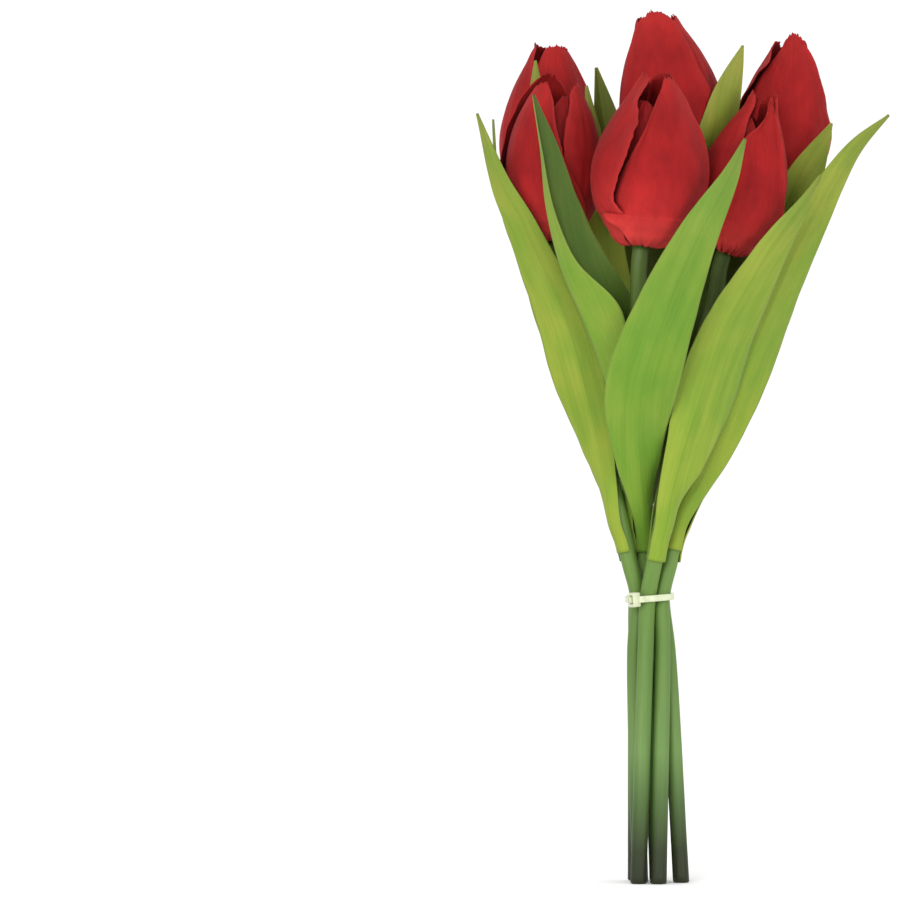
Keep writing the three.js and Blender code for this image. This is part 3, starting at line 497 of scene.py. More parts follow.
class Shader:
    """A Principled material, and short words for the nodes that feed it."""

    def __init__(self, name, **sockets):
        self.material = bpy.data.materials.new(name)
        self.material.use_nodes = True
        self.tree = self.material.node_tree
        self.bsdf = self.tree.nodes["Principled BSDF"]
        for key, value in sockets.items():
            self.bsdf.inputs[key.replace("_", " ")].default_value = value

    def node(self, kind, **values):
        node = self.tree.nodes.new(kind)
        for key, value in values.items():
            if hasattr(node, key):
                setattr(node, key, value)
            else:
                node.inputs[key].default_value = value
        return node

    def feed(self, socket, value):
        """Link an output to the socket, or set it to a number or a colour."""
        if isinstance(value, bpy.types.NodeSocket):
            self.tree.links.new(value, socket)
        elif isinstance(value, tuple):
            socket.default_value = (*value, 1)
        else:
            socket.default_value = value

    def finish(self, base, relief, strength, distance):
        """Colour and relief of the surface; the relief's distance is in metres."""
        self.feed(self.bsdf.inputs["Base Color"], base)
        bump = self.node("ShaderNodeBump", Strength=strength, Distance=distance)
        self.feed(bump.inputs["Height"], relief)
        self.feed(self.bsdf.inputs["Normal"], bump.outputs[0])

    def attribute(self, name):
        return self.node("ShaderNodeAttribute", attribute_name=name).outputs["Fac"]

    def maths(self, operation, *values):
        node = self.node("ShaderNodeMath", operation=operation)
        for socket, value in zip(node.inputs, values):
            self.feed(socket, value)
        return node.outputs[0]

    def ramp(self, fac, stops):
        node = self.node("ShaderNodeValToRGB")
        elements = node.color_ramp.elements
        while len(elements) < len(stops):
            elements.new(0.5)
        for element, (position, colour) in zip(elements, stops):
            element.position = position
            element.color = (*colour, 1)
        self.feed(node.inputs[0], fac)
        return node.outputs[0]

    def mix(self, kind, fac, a, b):
        node = self.node("ShaderNodeMix", data_type="RGBA", blend_type=kind)
        for index, value in ((0, fac), (6, a), (7, b)):
            self.feed(node.inputs[index], value)
        return node.outputs[2]

    def noise(self, across, along, detail, roughness=0.5):
        """Noise on the piece's own surface; across and along are its rates a millimetre."""
        place = self.node("ShaderNodeCombineXYZ")
        for index, (name, rate) in enumerate((("across_mm", across), ("along_mm", along))):
            self.feed(place.inputs[index], self.maths("MULTIPLY", self.attribute(name), rate))
        self.feed(place.inputs[2], self.attribute("seed"))
        noise = self.node("ShaderNodeTexNoise", Scale=1.0, Detail=detail, Roughness=roughness)
        self.feed(noise.inputs["Vector"], place.outputs[0])
        return noise.outputs["Fac"]

    def tint(self, base, noise, *stops):
        """Multiply the colour by one that changes with the noise."""
        return self.mix("MULTIPLY", 1.0, base, self.ramp(noise, stops))

    def shade(self, base, name, colour):
        """Multiply the colour where the mesh's attribute is 1."""
        return self.mix("MULTIPLY", self.attribute(name), base, colour)

    def rim(self, base, power, share, colour):
        """Turn the colour towards another one close to the edges of a sheet."""
        near = self.maths("POWER", self.maths("ABSOLUTE", self.attribute("across")), power)
        return self.mix("MIX", self.maths("MULTIPLY", near, share), base, colour)

    def woven(self, relief, across, along, share):
        """Add a share of a fine weave to the relief."""
        weave = self.noise(across, along, 2.0)
        return self.maths("ADD", relief, self.maths("MULTIPLY", weave, share))


def petal_material(name, colours):
    shader = Shader(name, Roughness=0.72, Sheen_Weight=0.02, Sheen_Roughness=0.45,
                    Specular_IOR_Level=0.12)
    fibres = shader.noise(2.6, 0.16, 4.0, 0.6)
    clouds = shader.noise(0.12, 0.07, 3.0, 0.55)
    base = shader.ramp(shader.attribute("along"), colours)
    base = shader.tint(base, fibres, (0.3, (0.9, 0.87, 0.87)), (0.7, (1.05, 1.05, 1.05)))
    base = shader.tint(base, clouds, (0.3, (0.8, 0.76, 0.78)), (0.7, (1.12, 1.1, 1.06)))
    # Painted shade on the petals' inner faces, which face the shaded hollow of the bud.
    base = shader.shade(base, "inside", (0.8, 0.6, 0.58))
    # Painted shade on the fabric beside each covering edge, on the petal that lies under it.
    base = shader.shade(base, "painted_seam_shade", (0.32, 0.2, 0.2))
    # Lighter near the edges: partly the frayed threads' own colour, partly a painted highlight on
    # the lit edges.
    base = shader.rim(base, 10.0, 0.3, srgb(170, 50, 46))
    shader.finish(base, shader.woven(fibres, 7.0, 5.0, 0.35), 0.22, 0.0004)
    return shader.material


def leaf_material():
    shader = Shader("leaf_fabric", Roughness=0.62, Sheen_Weight=0.05, Specular_IOR_Level=0.2)
    veins = shader.noise(1.15, 0.02, 3.0)
    streaks = shader.noise(0.2, 0.018, 4.0, 0.6)
    clouds = shader.noise(0.09, 0.045, 2.0)
    base = shader.ramp(shader.attribute("along"), [
        (0.0, srgb(120, 144, 42)), (0.25, srgb(118, 142, 42)), (0.5, srgb(116, 140, 42)),
        (0.8, srgb(116, 136, 44)), (1.0, srgb(112, 124, 48))])
    base = shader.tint(base, veins, (0.3, (0.93, 0.94, 0.9)), (0.62, (1.03, 1.02, 1.03)))
    base = shader.tint(base, streaks, (0.32, (0.84, 0.92, 0.8)), (0.68, (1.12, 1.06, 1.14)))
    base = shader.tint(base, clouds, (0.35, (0.84, 0.94, 0.84)), (0.65, (1.12, 1.02, 1.1)))
    # The leaves' inner faces are darker: partly their own print, partly painted shade.
    base = shader.shade(base, "inside", (0.36, 0.42, 0.36))
    base = shader.shade(base, "olive", (1.3, 0.92, 0.8))
    base = shader.shade(base, "green", (0.74, 0.9, 0.86))
    # Painted light and shade: each leaf's inner face is scaled from one brightness low down to
    # another high up.
    with_painted_light = shader.node("ShaderNodeVectorMath", operation="SCALE")
    shader.feed(with_painted_light.inputs[0], base)
    shader.feed(with_painted_light.inputs["Scale"], shader.attribute("painted_light_and_shade"))
    from_rib = shader.maths("ABSOLUTE", shader.attribute("across"))
    rib = shader.maths("POWER", shader.maths("SUBTRACT", 1.0, from_rib), 30.0)
    base = shader.mix("MULTIPLY", shader.maths("MULTIPLY", rib, 0.55), with_painted_light.outputs[0],
                      (0.72, 0.8, 0.7))
    base = shader.rim(base, 24.0, 0.2, srgb(150, 152, 84))
    shader.finish(base, shader.woven(veins, 5.0, 4.0, 0.25), 0.3, 0.0004)
    return shader.material


def stem_material():
    shader = Shader("stem_plastic", Specular_IOR_Level=0.3)
    streaks = shader.noise(0.35, 0.025, 3.0)
    fine = shader.noise(1.6, 0.12, 3.0)
    length = shader.maths("MULTIPLY", shader.attribute("along_mm"), 0.004)
    base = shader.ramp(length, [
        (0.0, srgb(28, 34, 12)), (0.05, srgb(36, 46, 17)), (0.12, srgb(66, 90, 42)),
        (0.2, srgb(94, 124, 64)), (0.36, srgb(84, 114, 48)), (0.5, srgb(92, 122, 52)),
        (0.8, srgb(84, 108, 44)), (1.0, srgb(70, 90, 34))])
    base = shader.tint(base, streaks, (0.3, (0.82, 0.88, 0.8)), (0.7, (1.12, 1.08, 1.1)))
    shader.finish(base, fine, 0.2, 0.0003)
    shader.feed(shader.bsdf.inputs["Roughness"],
                shader.maths("ADD", shader.maths("MULTIPLY", fine, 0.2), 0.4))
    return shader.material


def speckled_material(name, low, high, scale, strength, **sockets):
    """Two colours that change with a noise in the object's own space."""
    shader = Shader(name, **sockets)
    noise = shader.node("ShaderNodeTexNoise", Scale=scale, Detail=4.0)
    place = shader.node("ShaderNodeTexCoord").outputs["Object"]
    shader.feed(noise.inputs["Vector"], place)
    base = shader.ramp(noise.outputs["Fac"], [(0.3, low), (0.7, high)])
    shader.finish(base, noise.outputs["Fac"], strength, 0.0002)
    return shader.material


# Lighter towards the foot: partly the fabric's own dye, partly painted light from below.
PETAL = petal_material("petal_fabric", [
    (0.0, srgb(186, 54, 50)), (0.07, srgb(176, 47, 45)), (0.18, srgb(156, 32, 32)),
    (0.4, srgb(137, 20, 22)), (0.75, srgb(137, 21, 22)), (1.0, srgb(150, 31, 30))])
# Painted shade: the inner petals are darker than the outer ones, and darkest at the foot, deep in
# the bud.
WHORL = petal_material("inner_petal_fabric", [
    (0.0, srgb(84, 14, 12)), (0.5, srgb(104, 14, 16)), (1.0, srgb(126, 18, 20))])
LEAF = leaf_material()
STEM = stem_material()
CUP = speckled_material("receptacle_plastic", srgb(70, 104, 56), srgb(92, 130, 70), 400, 0.2,
                        Roughness=0.5)
WIRE = speckled_material("wire_steel", (0.32, 0.33, 0.34), (0.5, 0.51, 0.52), 900, 0.2,
                         Roughness=0.38, Metallic=0.95)
TIE = speckled_material("tie_nylon", srgb(180, 186, 152), srgb(202, 208, 178), 260, 0.1,
                        Roughness=0.32, Subsurface_Weight=0.3,
                        Subsurface_Radius=(0.002, 0.002, 0.0015))
PAPER = Shader("paper", Roughness=0.9, Base_Color=(0.985, 0.985, 0.985, 1),
               Specular_IOR_Level=0.0).material


def bud_axis(head):
    return Vector((*head["lean"], head["height"])).normalized()


def bud_matrix(head):
    turn = UP.rotation_difference(bud_axis(head)).to_matrix().to_4x4()
    spin = Matrix.Rotation(math.radians(head["turn"]), 4, "Z")
    return Matrix.Translation(head["at"]) @ turn @ spin


def bud_radius(head):
    """Radius of a head as a function of the height above its foot."""
    top = [(at, lerp(closed, opened, head["open"]))
           for (at, closed), (_, opened) in zip(BUD_CLOSED_TOP, BUD_OPEN_TOP)]
    profile = fraction_curve([*BUD_FOOT, *top])
    return lambda height: head["radius"] * profile(np.clip(height / head["height"], 0, 1))


def stem_line(tulip):
    head = tulip["head"]
    neck = Vector(head["at"]) - bud_axis(head) * STEM_NECK
    bundle = []
    for level, (x, y), height in BUNDLE_LEVELS:
        across, deep = tulip["bundle"][level]
        bundle.append((x + across * STEM_PITCH, y + deep * STEM_PITCH, height))
    return Line([*bundle, *tulip["stem"], tuple(neck), head["at"]])


def stem_piece(tulip, line, seed):
    """Tube with a bore, a chamfered cut end and a slightly uneven wall."""
    uneven = Waves(seed, 6, 2, 9)
    shares = np.linspace(0, 1, STEM_RINGS)
    rings = [(0.0, STEM_RADIUS - CUT_CHAMFER), (CUT_SHARE, STEM_RADIUS)]
    rings += [(share, STEM_RADIUS * (1 - STEM_UNEVEN * abs(float(uneven(share)))))
              for share in shares[1:]]
    rings += [(share, BORE_RADIUS) for share in shares[::-1]]
    verts, across, along = [], [], []
    for share, radius in rings:
        centre = Vector(line.at(share))
        tangent = Vector(line.tangent(share)) if share > CUT_SHARE else UP
        turn = UP.rotation_difference(tangent)
        for side in range(STEM_SIDES):
            angle = 2 * math.pi * side / STEM_SIDES
            out = Vector((math.cos(angle) * radius, math.sin(angle) * radius, 0))
            verts.append(centre + turn @ out)
            across.append(abs(side / STEM_SIDES - 0.5) * 2 * math.pi * STEM_RADIUS)
            along.append(share * line.length)
    faces = ring_faces(len(rings), STEM_SIDES, closed=True)
    data = {"across_mm": across, "along_mm": along,
            "seed": [seed * SEED_STEPS["stem"]] * len(verts)}
    return new_mesh(tulip["name"] + "_stem_tube", verts, faces, STEM, data)


def leaf_rib(leaf, line, seat):
    """Middle line of a leaf: first up its stem, then along its route."""
    side = math.radians(leaf["side"])

    def on_stem(height, lift):
        share = line.share_at_height(height)
        tangent = Vector(line.tangent(share))
        away = Vector((math.cos(side), math.sin(side), 0))
        away -= tangent * away.dot(tangent)
        return tuple(Vector(line.at(share)) + away.normalized() * (seat + lift))

    return Line([on_stem(COLLAR_HEIGHT, 0), on_stem(COLLAR_HEIGHT + LEAF_FOOT, 0),
                 on_stem(COLLAR_HEIGHT + LEAF_FOOT * 2, LEAF_LIFT), *leaf["route"]])


def leaf_piece(tulip, leaf, line, seed):
    """A leaf: its foot wraps the stem, then it opens, turns and folds along the rib."""
    name = f"{tulip['name']}_{leaf['name']}"
    wrap = math.radians(leaf["wrap"])
    seat = (STEM_RADIUS + SEAT_GAP) / math.cos(wrap / 4) + LEAF_THICKNESS / 2
    rib = leaf_rib(leaf, line, seat)
    u, v = grid(LEAF_GRID, LEAF_STARTS.get(name, 0))
    opened = smoothstep(v, *LEAF_FOLDS)

    # Directions along the rib, to the inner face and across.
    stemward = leaf["side"] - 180
    faces = [face + round((stemward - face) / 360) * 360 for face in leaf["faces"]]
    face_at = fraction_curve(list(zip(LEAF_FACE_STATIONS, (stemward, stemward, *faces))))
    face = np.radians(face_at(v))
    tangent = rib.tangent(v)
    inner = np.stack([np.cos(face), np.sin(face), np.zeros_like(face)], -1)
    inner = unit(inner - tangent * (inner * tangent).sum(-1)[..., None])
    across = np.cross(tangent, inner)

    # Width of each half, from the wrapped foot to the open blade.
    skew = 1 + leaf.get("skew", 0) * opened * np.sign(u)
    blade = leaf["width"] / 2 * fraction_curve(LEAF_OUTLINE)(v ** leaf.get("blunt", 1)) * skew
    blade *= 1 + LEAF_EDGE_WAVE * Waves(seed + 50, 6, 3, 16)(v, np.sign(u) * 0.3)
    swell, middle, spread = LEAF_SWELLS.get(name, (0, 0.5, 1))
    blade = blade + swell * np.exp(-((v - middle) / spread) ** 2) * (u < 0)
    half = lerp(wrap * seat, blade, smoothstep(v, *LEAF_WIDENS))

    # Section: an arc that is bent round the stem at the foot, nearly flat above, and folded.
    bend = lerp(1 / seat, LEAF_CURVE, smoothstep(v, *LEAF_FLATTENS))
    fold_at = fraction_curve(list(zip(LEAF_FOLD_STATIONS, (leaf["fold"][0], *leaf["fold"]))))
    fold = np.radians(fold_at(v)) * opened
    arc = np.abs(u) * half * bend
    away, lift = np.sin(arc) / bend, (1 - np.cos(arc)) / bend
    out = away * np.cos(fold) - lift * np.sin(fold)
    up = away * np.sin(fold) + lift * np.cos(fold)
    ripple = Waves(seed + 80, 5, 0.6, 3.0)(v, u * 0.4)
    up = up + LEAF_RIPPLE * ripple * opened * np.abs(u) ** 1.5
    points = rib.at(v) + across * (out * np.sign(u))[..., None] + inner * up[..., None]

    # low and high are the painted shade and light of the inner face; olive and green are shares of
    # hue.
    low, high, olive, green = LEAF_SHADING_AND_HUES.get(name, (1, 1, 0, 0))
    extra = {"across_mm": u * half, "along_mm": v * rib.length,
             "seed": np.full(u.shape, seed * SEED_STEPS["leaf"]),
             "painted_light_and_shade": lerp(low, high, smoothstep(v, *LEAF_SHADING_TURNS)),
             "olive": np.full(u.shape, olive), "green": np.full(u.shape, green)}
    verts, faces, data = shell(points, u, v, LEAF_THICKNESS * SHEET_SHARE, extra)
    # The grid's normal looks to the inner face, so the flag is turned round. The painted light and
    # shade go on the inner face only.
    data["inside"] = 1 - data["inside"]
    data["painted_light_and_shade"] = 1 + (data["painted_light_and_shade"] - 1) * data["inside"]
    return new_mesh(f"{tulip['name']}_blade_{leaf['name']}", verts, faces, LEAF, data)


def seam_of(tulip, index):
    """Reach of both edges at a seam, which of them is outside, and how far it stands off."""
    head = tulip["head"]
    own = SEAMS.get(tulip["name"], {}).get(index % 3, {})
    outside = head["over"][index % 3]
    spread = BLUNT_TIPS.get(tulip["name"], 0) * TIP_SPREAD

    def plain(on_top):
        table, scale = (PETAL_EDGE_OVER, head["cover"]) if on_top else (PETAL_EDGE_UNDER, 1)
        return [(at, reach * scale + spread * max(0, at - 0.85) / 0.15) for at, reach in table]

    return {
        "later": fraction_curve(own.get("later", plain(outside > 0))),
        "earlier": fraction_curve(own.get("earlier", plain(outside < 0))),
        "on_top": fraction_curve(own.get("on_top", [(0, outside), (1, outside)])),
        "lift": fraction_curve(own.get("lift", PLAIN_LIFT)),
    }


def petal_piece(tulip, index, seed):
    """An outer petal: where two meet, one edge lies on top and the other bends in under it, with
    painted shade beside the covering edge.
    """
    head = tulip["head"]
    after, before = seam_of(tulip, index), seam_of(tulip, index + 2)
    u, v = grid(PETAL_GRID)
    share = v ** PETAL_ROW_BIAS
    later = u > 0
    from_middle, side = np.abs(u), np.sign(u)
    over_after, over_before = after["on_top"](share), -before["on_top"](share)
    outside = np.where(later, over_after, over_before)
    crumple = Waves(seed + 13, 6, 0.8, 5.0)

    # Height, with a rounded and torn tip.
    drop = PETAL_TIP_DROP * (1 - TIP_RISE * BLUNT_TIPS.get(tulip["name"], 0))
    height = lerp(PETAL_FOOT, head["height"] * head["tops"][index], share)
    height = height - drop * u * u * smoothstep(v, PETAL_TIP_START, 1)
    ragged, tears = Waves(seed + 11, 7, 1.0, 6.0)(u * 0.6), Waves(seed + 14, 5, 2.0, 7.0)(u)
    torn = TIP_TEARS[0] + TIP_TEARS[1] * ragged + TIP_TEARS[2] * tears
    height = height - torn * smoothstep(v, 0.9, 1.0)

    # Degrees from the petal's middle, with uneven edges.
    uneven = Waves(seed + 12, 9, 4.0, 22.0)(v, side * 0.4) * smoothstep(from_middle, 0.5, 1)
    reach = np.where(later, after["later"](share), before["earlier"](share))
    turn = u * (reach * (1 + PETAL_EDGE_WAVE * uneven))
    angle = np.radians(index / 3 * 360 + turn)

    # Radius: the bud's own, less the lap where this petal lies under its neighbour.
    seat = (CUP_RADIUS + SEAT_GAP) * PETAL_SEAT_ALLOWANCE + PETAL_THICKNESS / 2
    under = lerp((1 - over_before) / 2, (1 - over_after) / 2, (u + 1) / 2)
    depth = under * PETAL_LAP * 2
    fade = 1 - smoothstep(height / head["height"], *LAP_FADE)
    belly = np.maximum(bud_radius(head)(height) - depth * fade, seat + PETAL_LAP * 2 - depth)
    radius = lerp(seat, belly, smoothstep(share, 0, PETAL_LAP_START))
    near_edge = (smoothstep(from_middle, 0.55, 1.0) * smoothstep(v, 0.1, 0.3)
                 * (1 - smoothstep(v, 0.8, 1)))
    radius = (radius + PETAL_CRUMPLE * crumple(v, u) * near_edge
              + BELLY_CRUMPLE * crumple(u * 1.4, v * 0.5) * smoothstep(v, 0.05, 0.3))

    # The outer edge stands off, the inner one is tucked in, and the hem hangs over the cup.
    curl = smoothstep(from_middle, *PETAL_CURL) * smoothstep(share, 0.02, 0.1)
    lift = np.where(later, after["lift"](share), before["lift"](share))
    flutter = 1 + 0.35 * Waves(seed + 15, 6, 2.0, 8.0)(v, side * 0.3)
    radius = radius + np.maximum(outside, 0) * curl * lift * flutter
    radius = radius - np.maximum(-outside, 0) * curl * PETAL_TUCK
    hem = np.exp(-((share - HEM_AT) / HEM_SPREAD) ** 2) * HEM_DIP * (1 + 0.3 * crumple(u, 0.3))
    points = np.stack([np.cos(angle) * radius, np.sin(angle) * radius, height - hem], -1)

    # Mask of the painted shade beside a neighbour's covering edge, on a petal that lies under it.
    neighbour = 120 - np.where(later, after["earlier"](share), before["later"](share))
    seam_shade_mask = smoothstep(np.abs(turn), neighbour - SEAM_SHADE_MARGIN, neighbour + 1)
    extra = {"across_mm": np.radians(turn) * radius, "along_mm": height,
             "seed": np.full(u.shape, seed * SEED_STEPS["petal"]),
             "painted_seam_shade": seam_shade_mask * np.clip(-outside, 0, 1)}
    verts, faces, data = shell(points, u, share, PETAL_THICKNESS * SHEET_SHARE, extra)
    name = f"{tulip['name']}_petal_skin_{index + 1}"
    return new_mesh(name, verts, faces, PETAL, data, bud_matrix(head))


def whorl_piece(tulip, seed):
    """Three inner petals on one small cup that goes round the spigot."""
    head = tulip["head"]
    bud = bud_radius(head)
    foot = CUP_HEIGHT + SEAT_GAP
    start = (SPIGOT_RADIUS + SEAT_GAP) / math.cos(math.pi / 9) + WHORL_WALL / 2

    def radius_at(height):
        spread = smoothstep(height, foot, foot + head["height"] * WHORL_SHARE)
        return lerp(start, bud(height) - WHORL_INSET, spread ** WHORL_SPREAD)

    low = foot + SEAT_GAP
    rim = low + head["height"] * WHORL_SHARE * WHORL_RIM_SHARE
    levels = np.linspace(low, rim, 8)
    wall = WHORL_WALL / 2
    profile = [(float(radius_at(h)) + wall, h) for h in levels]
    profile += [(float(radius_at(h)) - wall, h) for h in levels[::-1]]
    verts, faces = lathe(profile + profile[:1], 30)
    count = len(verts)
    first = seed * SEED_STEPS["whorl"]
    # The small cup takes half of the inner faces' painted shade.
    data = {"across": [0.0] * count, "along": [0.1] * count, "across_mm": [v[0] for v in verts],
            "along_mm": [v[2] for v in verts], "seed": [first] * count, "inside": [0.5] * count}
    reach = fraction_curve(WHORL_OUTLINE)
    for index in range(3):
        u, v = grid(WHORL_GRID)
        top = head["height"] * WHORL_DROP * (1 - WHORL_STEP * index)
        torn = 0.5 + 0.5 * Waves(seed + index, 6, 1, 6)(u)
        height = lerp(rim - WHORL_ROOT, top, v) - torn * smoothstep(v, 0.9, 1)
        turn = u * reach(v)
        angle = np.radians((index + 0.5) / 3 * 360 + turn)
        crumple = Waves(seed + 5 + index, 5, 0.8, 4)(u, v)
        radius = radius_at(height) + PETAL_CRUMPLE * crumple * smoothstep(v, 0.2, 0.5)
        points = np.stack([np.cos(angle) * radius, np.sin(angle) * radius, height], -1)
        extra = {"across_mm": np.radians(turn) * radius, "along_mm": height,
                 "seed": np.full(u.shape, first + index)}
        sheet = shell(points, u, v, PETAL_THICKNESS * SHEET_SHARE, extra)
        base = len(verts)
        verts += [tuple(point) for point in sheet[0]]
        faces += [tuple(base + k for k in face) for face in sheet[1]]
        for key in data:
            data[key] += list(sheet[2][key])
    return new_mesh(tulip["name"] + "_heart", verts, faces, WHORL, data, bud_matrix(head))


def cup_piece(tulip):
    """Receptacle: cup with a spigot, and a blind bore for the wire."""
    shape = [(CUP_RADIUS - 0.2, 0.07), (CUP_RADIUS, 0.12), (CUP_RADIUS, 0.3),
             (CUP_RADIUS * 0.96, 0.45), (CUP_RADIUS * 0.8, 1), (SPIGOT_RADIUS, 1)]
    foot, top = SEAT_GAP, SEAT_GAP + CUP_HEIGHT + SPIGOT_HEIGHT
    profile = [(BORE_RADIUS, foot), (STEM_RADIUS * CUP_FOOT_SHARE, foot)]
    profile += [(radius, foot + CUP_HEIGHT * share) for radius, share in shape]
    profile += [(SPIGOT_RADIUS * SPIGOT_TAPER, top), (0, top), (0, WIRE_PEG + SEAT_GAP),
                (BORE_RADIUS, WIRE_PEG + SEAT_GAP), (BORE_RADIUS, foot)]
    verts, faces = lathe(profile)
    return new_mesh(tulip["name"] + "_cup", verts, faces, CUP, {}, bud_matrix(tulip["head"]))


def tie_outline(degrees, distance):
    """Point of the tied bundle's outline in a direction, at a distance from the stem walls."""
    out = np.array((math.cos(math.radians(degrees)), math.sin(math.radians(degrees))))
    centres = [line.at(line.share_at_height(TIE_HEIGHT))[:2] for line in map(stem_line, TULIPS)]
    return max(centres, key=lambda centre: centre @ out) + out * (STEM_RADIUS + distance)


def rounded_section(width, height, corner, steps=4):
    """Points of a rounded rectangle, counterclockwise."""
    points = []
    for k, (sx, sy) in enumerate(((1, 1), (-1, 1), (-1, -1), (1, -1))):
        for step in range(steps + 1):
            a = math.pi / 2 * (k + step / steps)
            points.append((sx * (width / 2 - corner) + corner * math.cos(a),
                           sy * (height / 2 - corner) + corner * math.sin(a)))
    return points


def strap_path():
    """Middle line of the strap, from its head round the stems and out through the slot."""
    side = math.radians(TIE_HEAD_SIDE)
    out = np.array((math.cos(side), math.sin(side)))
    along = np.array((-out[1], out[0]))
    gap = TIE_GAP + STRAP_THICKNESS / 2
    seat = tie_outline(TIE_HEAD_SIDE, gap)
    start = STRAP_THICKNESS + SEAT_GAP
    points = [seat + along * TIE_HEAD_WIDTH * share + out * start for share in STRAP_ROOT]
    first, last = TIE_HEAD_SIDE + STRAP_LEAVES, TIE_HEAD_SIDE + 360 - STRAP_RETURNS
    points += [tie_outline(angle, gap) for angle in np.linspace(first, last, 90)]
    points += [seat + along * a * STRAP_BEND + out * b * STRAP_BEND
               for a, b in STRAP_BEND_POINTS]
    points.append(seat + out * (STRAP_THICKNESS / 2 + SEAT_GAP + TIE_HEAD_DEPTH + TIE_TAIL))
    return points, seat, out, along


def strap_mesh(path):
    """Strap with rounded edges, teeth on its inner face and margins on its outer one."""
    line = Line([(x, y, 0) for x, y in path])
    count = int(line.length / STRAP_TOOTH_PITCH * RINGS_PER_TOOTH)
    section = rounded_section(STRAP_THICKNESS, STRAP_WIDTH, 0.3)
    verts = []
    for ring in range(count + 1):
        centre, forward = line.at(ring / count), line.tangent(ring / count)
        sideways = np.array((-forward[1], forward[0], 0))
        tooth = STRAP_TOOTH_DEPTH * (1 - ring % RINGS_PER_TOOTH / (RINGS_PER_TOOTH - 1))
        for x, z in section:
            if x > 0.2 and abs(z) < STRAP_WIDTH / 2 - 0.45:
                x = x - tooth
            elif x < -0.2 and abs(z) < STRAP_WIDTH / 2 - 0.4:
                x = x + STRAP_MARGIN
            verts.append(centre + sideways * x + np.array((0, 0, z)))
    size = len(section)
    faces = ring_faces(count + 1, size, closed=False)
    faces.append(tuple(range(size))[::-1])
    faces.append(tuple(count * size + k for k in range(size)))
    return verts, faces


def tie_head_mesh(seat, out, along):
    """Head of the tie with its slot; each level is (share of the depth, ring, growth in mm)."""
    middle = seat + out * (STRAP_THICKNESS / 2 + SEAT_GAP + TIE_HEAD_DEPTH / 2)
    rim = rounded_section(TIE_HEAD_WIDTH, TIE_HEAD_LENGTH, 0.55)
    slot = rounded_section(STRAP_THICKNESS + 2 * SEAT_GAP, STRAP_WIDTH + 2 * SEAT_GAP, 0.25)
    levels = [(-0.5, rim, -0.35), (-0.4, rim, 0), (0.38, rim, 0), (0.47, rim, -0.18),
              (0.5, rim, -0.5), (0.5, slot, 0.3), (0.4, slot, 0), (-0.5, slot, 0)]
    verts = []
    for depth, ring, grow in levels:
        scale_y, scale_z = 1 + 2 * grow / TIE_HEAD_WIDTH, 1 + 2 * grow / TIE_HEAD_LENGTH
        for y, z in ring:
            flat = middle + out * depth * TIE_HEAD_DEPTH + along * y * scale_y
            verts.append((*flat, z * scale_z))
    return verts, ring_faces(len(levels), len(rim), closed=True)


def tie_pieces():
    path, seat, out, along = strap_path()
    tilt = Matrix.Rotation(math.radians(-TIE_TILT), 4, "Y")
    place = Matrix.Translation((0, 0, TIE_HEIGHT)) @ tilt
    for name, (verts, faces) in (("tie_strap", strap_mesh(path)),
                                 ("tie_head", tie_head_mesh(seat, out, along))):
        yield new_mesh(name, verts, faces, TIE, {}, place)


def put(piece, slot_name, *nodes):
    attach(piece, "root")
    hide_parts(*nodes)


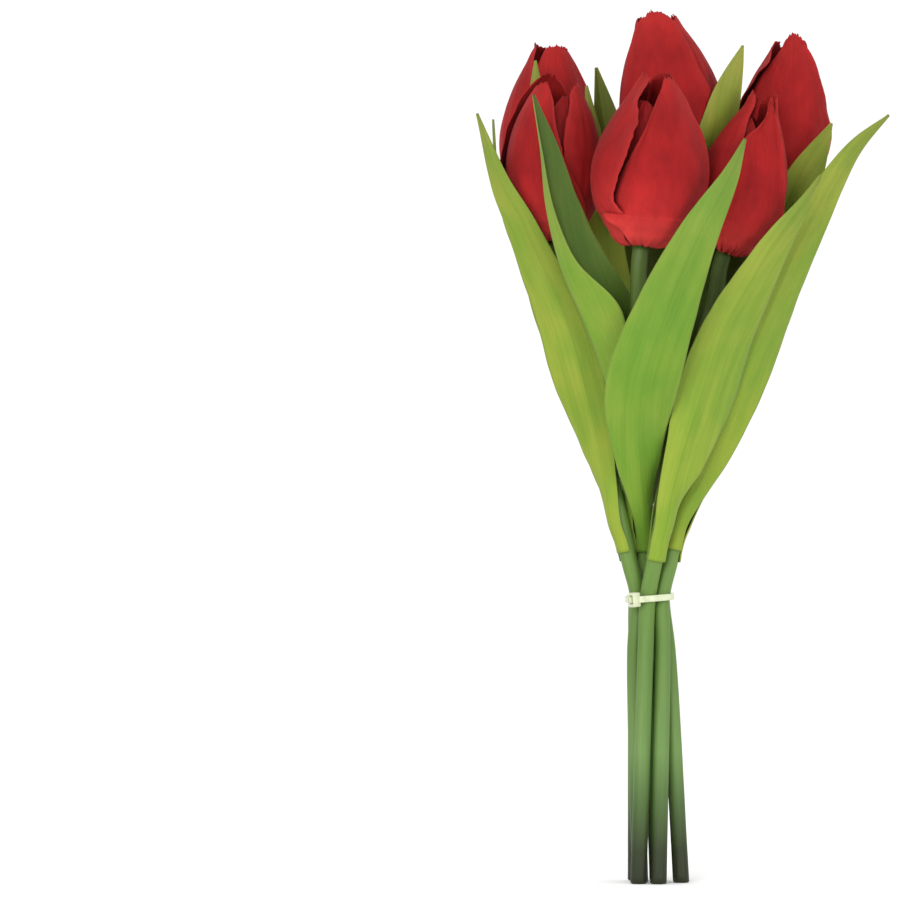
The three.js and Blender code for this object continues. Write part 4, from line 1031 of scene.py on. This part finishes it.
for number, tulip in enumerate(TULIPS):
    seed = FIRST_SEED + number * SEED_STRIDE
    name = tulip["name"]
    line = stem_line(tulip)
    put(stem_piece(tulip, line, seed), "stem_plastic", name + "_stem")
    for offset, leaf in enumerate(tulip["leaves"]):
        piece = leaf_piece(tulip, leaf, line, seed + offset)
        put(piece, "leaf_fabric", f"{name}_leaf_{leaf['name']}")
    for index in range(3):
        piece = petal_piece(tulip, index, seed + 3 * index)
        put(piece, "petal_fabric", f"{name}_petal_{index + 1}")
    put(whorl_piece(tulip, seed), "petal_fabric", name + "_inner_petals")
    put(cup_piece(tulip), "receptacle_plastic", name + "_receptacle")
    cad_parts[name + "_wire"].material_slots[0].material = WIRE
for piece in tie_pieces():
    put(piece, "tie_nylon", "cable_tie")

# A wide white floor under a white sky, and no wall behind the part from any side.
FLOOR_REACH, FLOOR_DROP = 12.0, 0.0002
corners = [(x * FLOOR_REACH, y * FLOOR_REACH, -FLOOR_DROP)
           for x, y in ((-1, -1), (1, -1), (1, 1), (-1, 1))]
floor_mesh = bpy.data.meshes.new("floor")
floor_mesh.from_pydata(corners, [], [(0, 1, 2, 3)])
floor_mesh.materials.append(PAPER)
floor = bpy.data.objects.new("floor", floor_mesh)
bpy.context.scene.collection.objects.link(floor)


def area_light(name, place, size, power):
    """Round soft light that faces the middle of the part."""
    data = bpy.data.lights.new(name, "AREA")
    data.shape = "DISK"
    data.size = size
    data.energy = power
    lamp = bpy.data.objects.new(name, data)
    lamp.location = place
    aim = Vector((0, 0, 0.2)) - Vector(place)
    lamp.rotation_euler = aim.to_track_quat("-Z", "Y").to_euler()
    bpy.context.scene.collection.objects.link(lamp)


area_light("key", (-0.6, -1.9, 0.8), 0.8, 17)
area_light("fill", (1.1, -1.7, 0.14), 0.9, 13)
area_light("left_fill", (-1.5, -1.3, 0.2), 0.9, 4)

scene = bpy.context.scene
scene.world = bpy.data.worlds.new("studio")
scene.world.use_nodes = True
sky = scene.world.node_tree.nodes["Background"]
sky.inputs["Color"].default_value = (1, 1, 1, 1)
sky.inputs["Strength"].default_value = 1.06
scene.view_settings.view_transform = "Standard"

# The photograph's frame is 900 pixels of 0.385 mm, seen straight from the front.
CAMERA_DISTANCE = 2.2
FRAME_WIDTH = 0.3465
SENSOR_WIDTH = 36
camera_data = bpy.data.cameras.new("camera")
camera_data.sensor_width = SENSOR_WIDTH
camera_data.lens = SENSOR_WIDTH * CAMERA_DISTANCE / FRAME_WIDTH
camera = bpy.data.objects.new("camera", camera_data)
camera.location = (-0.08085, -CAMERA_DISTANCE, 0.16625)
camera.rotation_euler = (math.pi / 2, 0, 0)
scene.collection.objects.link(camera)
scene.camera = camera
